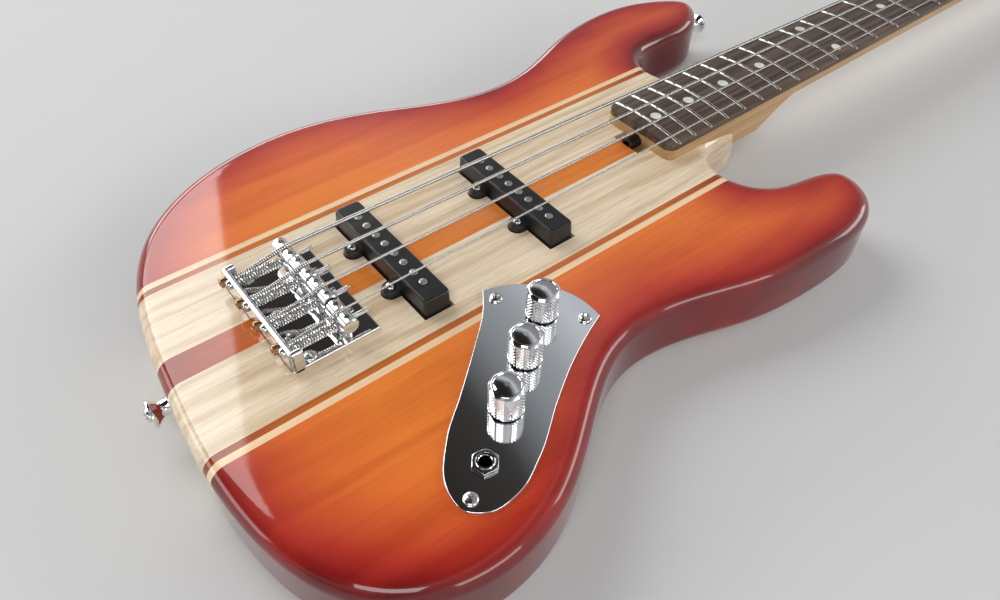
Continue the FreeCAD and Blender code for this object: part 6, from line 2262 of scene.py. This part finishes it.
@dataclass
class Fixings(SubAssembly):
    """Strap buttons, neck plate, neck bolts and every wood screw."""

    button_length: float = 13.0
    button_base: float = 6.0
    button_waist: float = 4.6
    button_head: float = 8.2
    button_rim: float = 2.2
    button_sides: int = 64
    waist_steps: int = 12
    foot_chamfer: float = 0.4
    rim_inset: float = 0.3
    rim_rise: float = 0.5
    head_chamfer: float = 0.7
    bridge_x: float = -23.5
    bridge_spacing: float = 17.5
    bridge_top: float = 46.0
    plate_spots: tuple[Spot, ...] = ((78.4, -60.4), (107.7, -101.5), (-7.5, -151.5))
    tuner_spots: tuple[Spot, ...] = ((-9.59, 11.4), (-9.59, -11.4))
    tuner_plate: float = 1.6
    retainer: Place = (905.62, -10.035, 63.03)
    bolt_centre: float = 293.0
    bolt_spread: Spot = (24.5, 18.5)
    bolt_level: float = 1.05
    body_screw: Screw = Screw()
    button_screw: Screw = Screw(length=35.0)
    small_screw: Screw = Screw(2.4, 2.0, 1.2, 11.0, pitch=1.0)
    bolt: Screw = Screw(4.5, 1.0, 2.4, 38.9, pitch=1.6, rim_share=0.8, depth_share=0.85)
    body_turn: float = 37.0
    button_turn: float = 20.0
    retainer_turn: float = 25.0
    tuner_turn: float = 40.0
    bolt_turn: float = 23.0

    def button(self) -> Mesh:
        """A turned button with its foot at the origin.

        Returns:
            The button's mesh.
        """
        base, waist, head, length = self.button_base, self.button_waist, self.button_head, self.button_length
        foot, chamfer, rim = self.foot_chamfer, self.head_chamfer, self.button_length - self.button_rim
        profile = [(0, 0), (base - foot, 0), (base, foot)]
        for step in range(1, self.waist_steps):
            share = step / self.waist_steps
            swell = head if share > 0.5 else base
            profile.append((waist + (swell - waist) * (2 * share - 1) ** 2, foot + (rim - foot) * share))
        profile += [(head - self.rim_inset, rim), (head, rim + self.rim_rise), (head, length - chamfer),
                    (head - chamfer, length), (0, length)]
        return lathe(profile, segments=self.button_sides)

    def body_screws(self) -> list[Mesh]:
        """The screws of the bridge, the control plate and the strap buttons.

        Returns:
            The plain screws and the long ones.
        """
        spots = [(self.bridge_x, self.bridge_spacing * share, self.bridge_top) for share in range(-2, 3)]
        spots += [(*spot, LAYOUT.plate_top) for spot in self.plate_spots]
        plain = [placed(at, turn=self.body_turn * k) for k, at in enumerate(spots)]
        ends = ((LAYOUT.tail_seat, Axis.MINUS_X, -1), (LAYOUT.horn_seat, Axis.X, 1))
        long = [placed((x + sign * self.button_length, y, z), axis, self.button_turn)
                for (x, y, z), axis, sign in ends]
        return [repeated(self.body_screw.mesh(), plain), repeated(self.button_screw.mesh(), long)]

    def small_screws(self) -> Mesh:
        """The screws of the tuners' base plates and of the string retainer.

        Returns:
            All of them as one mesh.
        """
        places = [placed(self.retainer, turn=self.retainer_turn)]
        for index in STRINGS:
            turn = self.tuner_turn * index
            places += [LAYOUT.tuner(index) @ placed((*spot, -self.tuner_plate), Axis.MINUS_Z, turn)
                       for spot in self.tuner_spots]
        return repeated(self.small_screw.mesh(), places)

    def bolts(self) -> Mesh:
        """The bolts through the neck plate into the heel.

        Returns:
            All of them as one mesh.
        """
        across, along = self.bolt_spread
        spots = [(self.bolt_centre + sign * across, side * along, self.bolt_level)
                 for sign in (-1, 1) for side in (-1, 1)]
        places = [placed(at, Axis.MINUS_Z, self.bolt_turn * k) for k, at in enumerate(spots)]
        return repeated(self.bolt.mesh(), places)

    def build(self) -> list[Piece]:
        """Makes the fixings."""
        seats = [placed(LAYOUT.tail_seat, Axis.MINUS_X), placed(LAYOUT.horn_seat, Axis.X)]
        screws = joined([*self.body_screws(), self.small_screws()])
        return [
            dressed("neck_plate", Finishes.chrome, Edges(0.4, 3)),
            new_piece("turned_buttons", repeated(self.button(), seats), Finishes.chrome, "strap_buttons"),
            new_piece("threaded_screws", screws, Finishes.steel, "wood_screws"),
            new_piece("neck_plate_bolts", self.bolts(), Finishes.steel, "neck_bolts"),
        ]


SKY_STOPS = (
    (0.00, (0.66, 0.66, 0.66)),
    (0.25, (0.24, 0.24, 0.245)),
    (0.50, (0.27, 0.275, 0.29)),
    (0.60, (0.58, 0.60, 0.64)),
    (0.64, (0.34, 0.36, 0.38)),
    (0.67, (0.26, 0.28, 0.30)),
    (0.72, (0.045, 0.042, 0.040)),
    (0.80, (0.022, 0.018, 0.016)),
)


@dataclass(frozen=True)
class SkyPanel:
    """A bright panel low in the sky, which draws a streak along the body's edge; angles in degrees."""

    azimuth: float
    elevation: float
    width: float
    height: float
    strength: float
    blur: float = 0.03

    def mask(self, sheet: NodeSheet, direction: Socket) -> Socket:
        """How much of the panel shows in a direction.

        Args:
            sheet: The sky's nodes.
            direction: The direction that is looked in.

        Returns:
            A value from 0 outside the panel to 1 inside.
        """
        turn = Matrix.Rotation(math.radians(self.azimuth), 3, "Z")
        ahead, across, rise = (turn @ Matrix.Rotation(-math.radians(self.elevation), 3, "Y")).transposed()
        shown = sheet.math("GREATER_THAN", sheet.dot(direction, ahead), 0.0)
        for way, angle in ((across, self.width), (rise, self.height)):
            edge = math.sin(math.radians(angle / 2))
            reach = sheet.math("ABSOLUTE", sheet.dot(direction, way))
            shown = sheet.math("MULTIPLY", shown, sheet.spread(reach, edge + self.blur, edge))
        return shown


SKY_PANELS = (
    SkyPanel(145.0, 13.5, 32.0, 16.0, 3.2),
    SkyPanel(78.0, 15.5, 39.0, 11.0, 5.0),
    SkyPanel(-22.5, 19.0, 31.0, 12.0, 5.0),
    SkyPanel(-82.0, 20.5, 33.0, 11.0, 5.0),
)


@dataclass(frozen=True)
class Lamp:
    """A soft lamp: its place, aim and size in metres, its power in watts and its roll in degrees."""

    name: str
    at: Place
    aim: Place
    size: Spot
    power: float
    roll: float = 0.0

    def hang(self) -> None:
        """Hangs the lamp in the studio."""
        light = bpy.data.lights.new(self.name, "AREA")
        light.shape = "RECTANGLE"
        light.size, light.size_y = self.size
        light.energy = self.power
        item = set_out(self.name, light)
        item.location = self.at
        facing = (Vector(self.aim) - Vector(self.at)).to_track_quat("-Z", "Y").to_matrix()
        item.rotation_euler = (facing @ Matrix.Rotation(math.radians(self.roll), 3, "Z")).to_euler()


LAMPS = (
    Lamp("key_lamp", (-3.3, -2.85, 4.8), (0.15, 0, 0), (3.6, 2.1), 126.0),
    Lamp("window_lamp", (-0.96, 4.23, 3.61), (-0.06, 0, 0.044), (4.0, 3.0), 164.0, roll=-28.7),
)


@dataclass
class Studio:
    """The pale floor, the soft sky and the camera; the floor's sizes are in metres."""

    floor_size: float = 80.0
    floor_place: Place = (0.3, 0.0, -0.0004)
    floor_colour: Colour = (0.66, 0.66, 0.655)
    floor_roughness: float = 0.85
    focal: float = 29.51
    sensor: float = 36.0
    clip: Spot = (0.01, 100.0)
    eye: Place = (-119.14, -302.61, 374.98)
    right: Place = (0.78391, -0.62053, 0.02082)
    up: Place = (0.43982, 0.57866, 0.68682)
    forward: Place = (0.43824, 0.52924, -0.72653)
    dark_pole: Place = (-0.39, 0.39, 0.834)

    def floor(self) -> None:
        """Lays the floor."""
        half = self.floor_size / 2
        mesh = bpy.data.meshes.new("floor")
        corners = [(x, y, 0) for x, y in rectangle((-half, -half), (half, half))]
        mesh.from_pydata(corners, [], [tuple(range(len(corners)))])
        item = set_out("floor", mesh)
        item.location = self.floor_place
        paint = bpy.data.materials.new("floor_paper")
        paint.use_nodes = True
        shader = paint.node_tree.nodes["Principled BSDF"]
        shader.inputs["Base Color"].default_value = (*self.floor_colour, 1.0)
        shader.inputs["Roughness"].default_value = self.floor_roughness
        mesh.materials.append(paint)

    def camera(self) -> None:
        """Sets the camera at the photograph's viewing angle."""
        data = bpy.data.cameras.new("camera")
        data.sensor_fit = "HORIZONTAL"
        data.sensor_width = self.sensor
        data.lens = self.focal
        data.clip_start, data.clip_end = self.clip
        item = set_out("camera", data)
        turn = Matrix([Vector(self.right), Vector(self.up), -Vector(self.forward)]).transposed()
        item.matrix_world = Matrix.Translation(Vector(self.eye) * MM) @ turn.to_4x4()
        bpy.context.scene.camera = item

    def sky(self) -> None:
        """Hangs a soft sky that darkens towards a point overhead, as a room does away from its windows."""
        world = bpy.data.worlds.new("studio_sky")
        world.use_nodes = True
        sheet = NodeSheet(world.node_tree)
        direction = sheet.add("ShaderNodeTexCoord").outputs["Generated"]
        colour = sheet.ramp(sheet.dot(direction, self.dark_pole), SKY_STOPS)
        for panel in SKY_PANELS:
            colour = sheet.mix(panel.mask(sheet, direction), colour, (panel.strength,) * 3)
        sheet.feed(world.node_tree.nodes["Background"], {"Color": colour})
        bpy.context.scene.world = world

    def build(self) -> None:
        """Sets up the studio."""
        bpy.context.scene.view_settings.view_transform = "Standard"
        self.floor()
        self.sky()
        for lamp in LAMPS:
            lamp.hang()
        self.camera()


def main() -> None:
    """Builds the instrument, then the studio."""
    logging.basicConfig(level=logging.INFO, format="%(levelname)s %(message)s")
    pickups = (Pickup("neck", 139.6, 93.5), Pickup("bridge", 48.7, 97.0))
    panel = ControlPanel()
    body = LaminatedBody(pickups, panel)
    assemblies = (body, Neck(), Tuners(), StringSet(), Bridge(), *pickups, panel, Fixings())
    pieces = [piece for assembly in assemblies for piece in assembly.build()]
    for piece in pieces:
        log.info("%s is in place", piece.name)
    Studio().build()


if __name__ == "__main__":
    main()
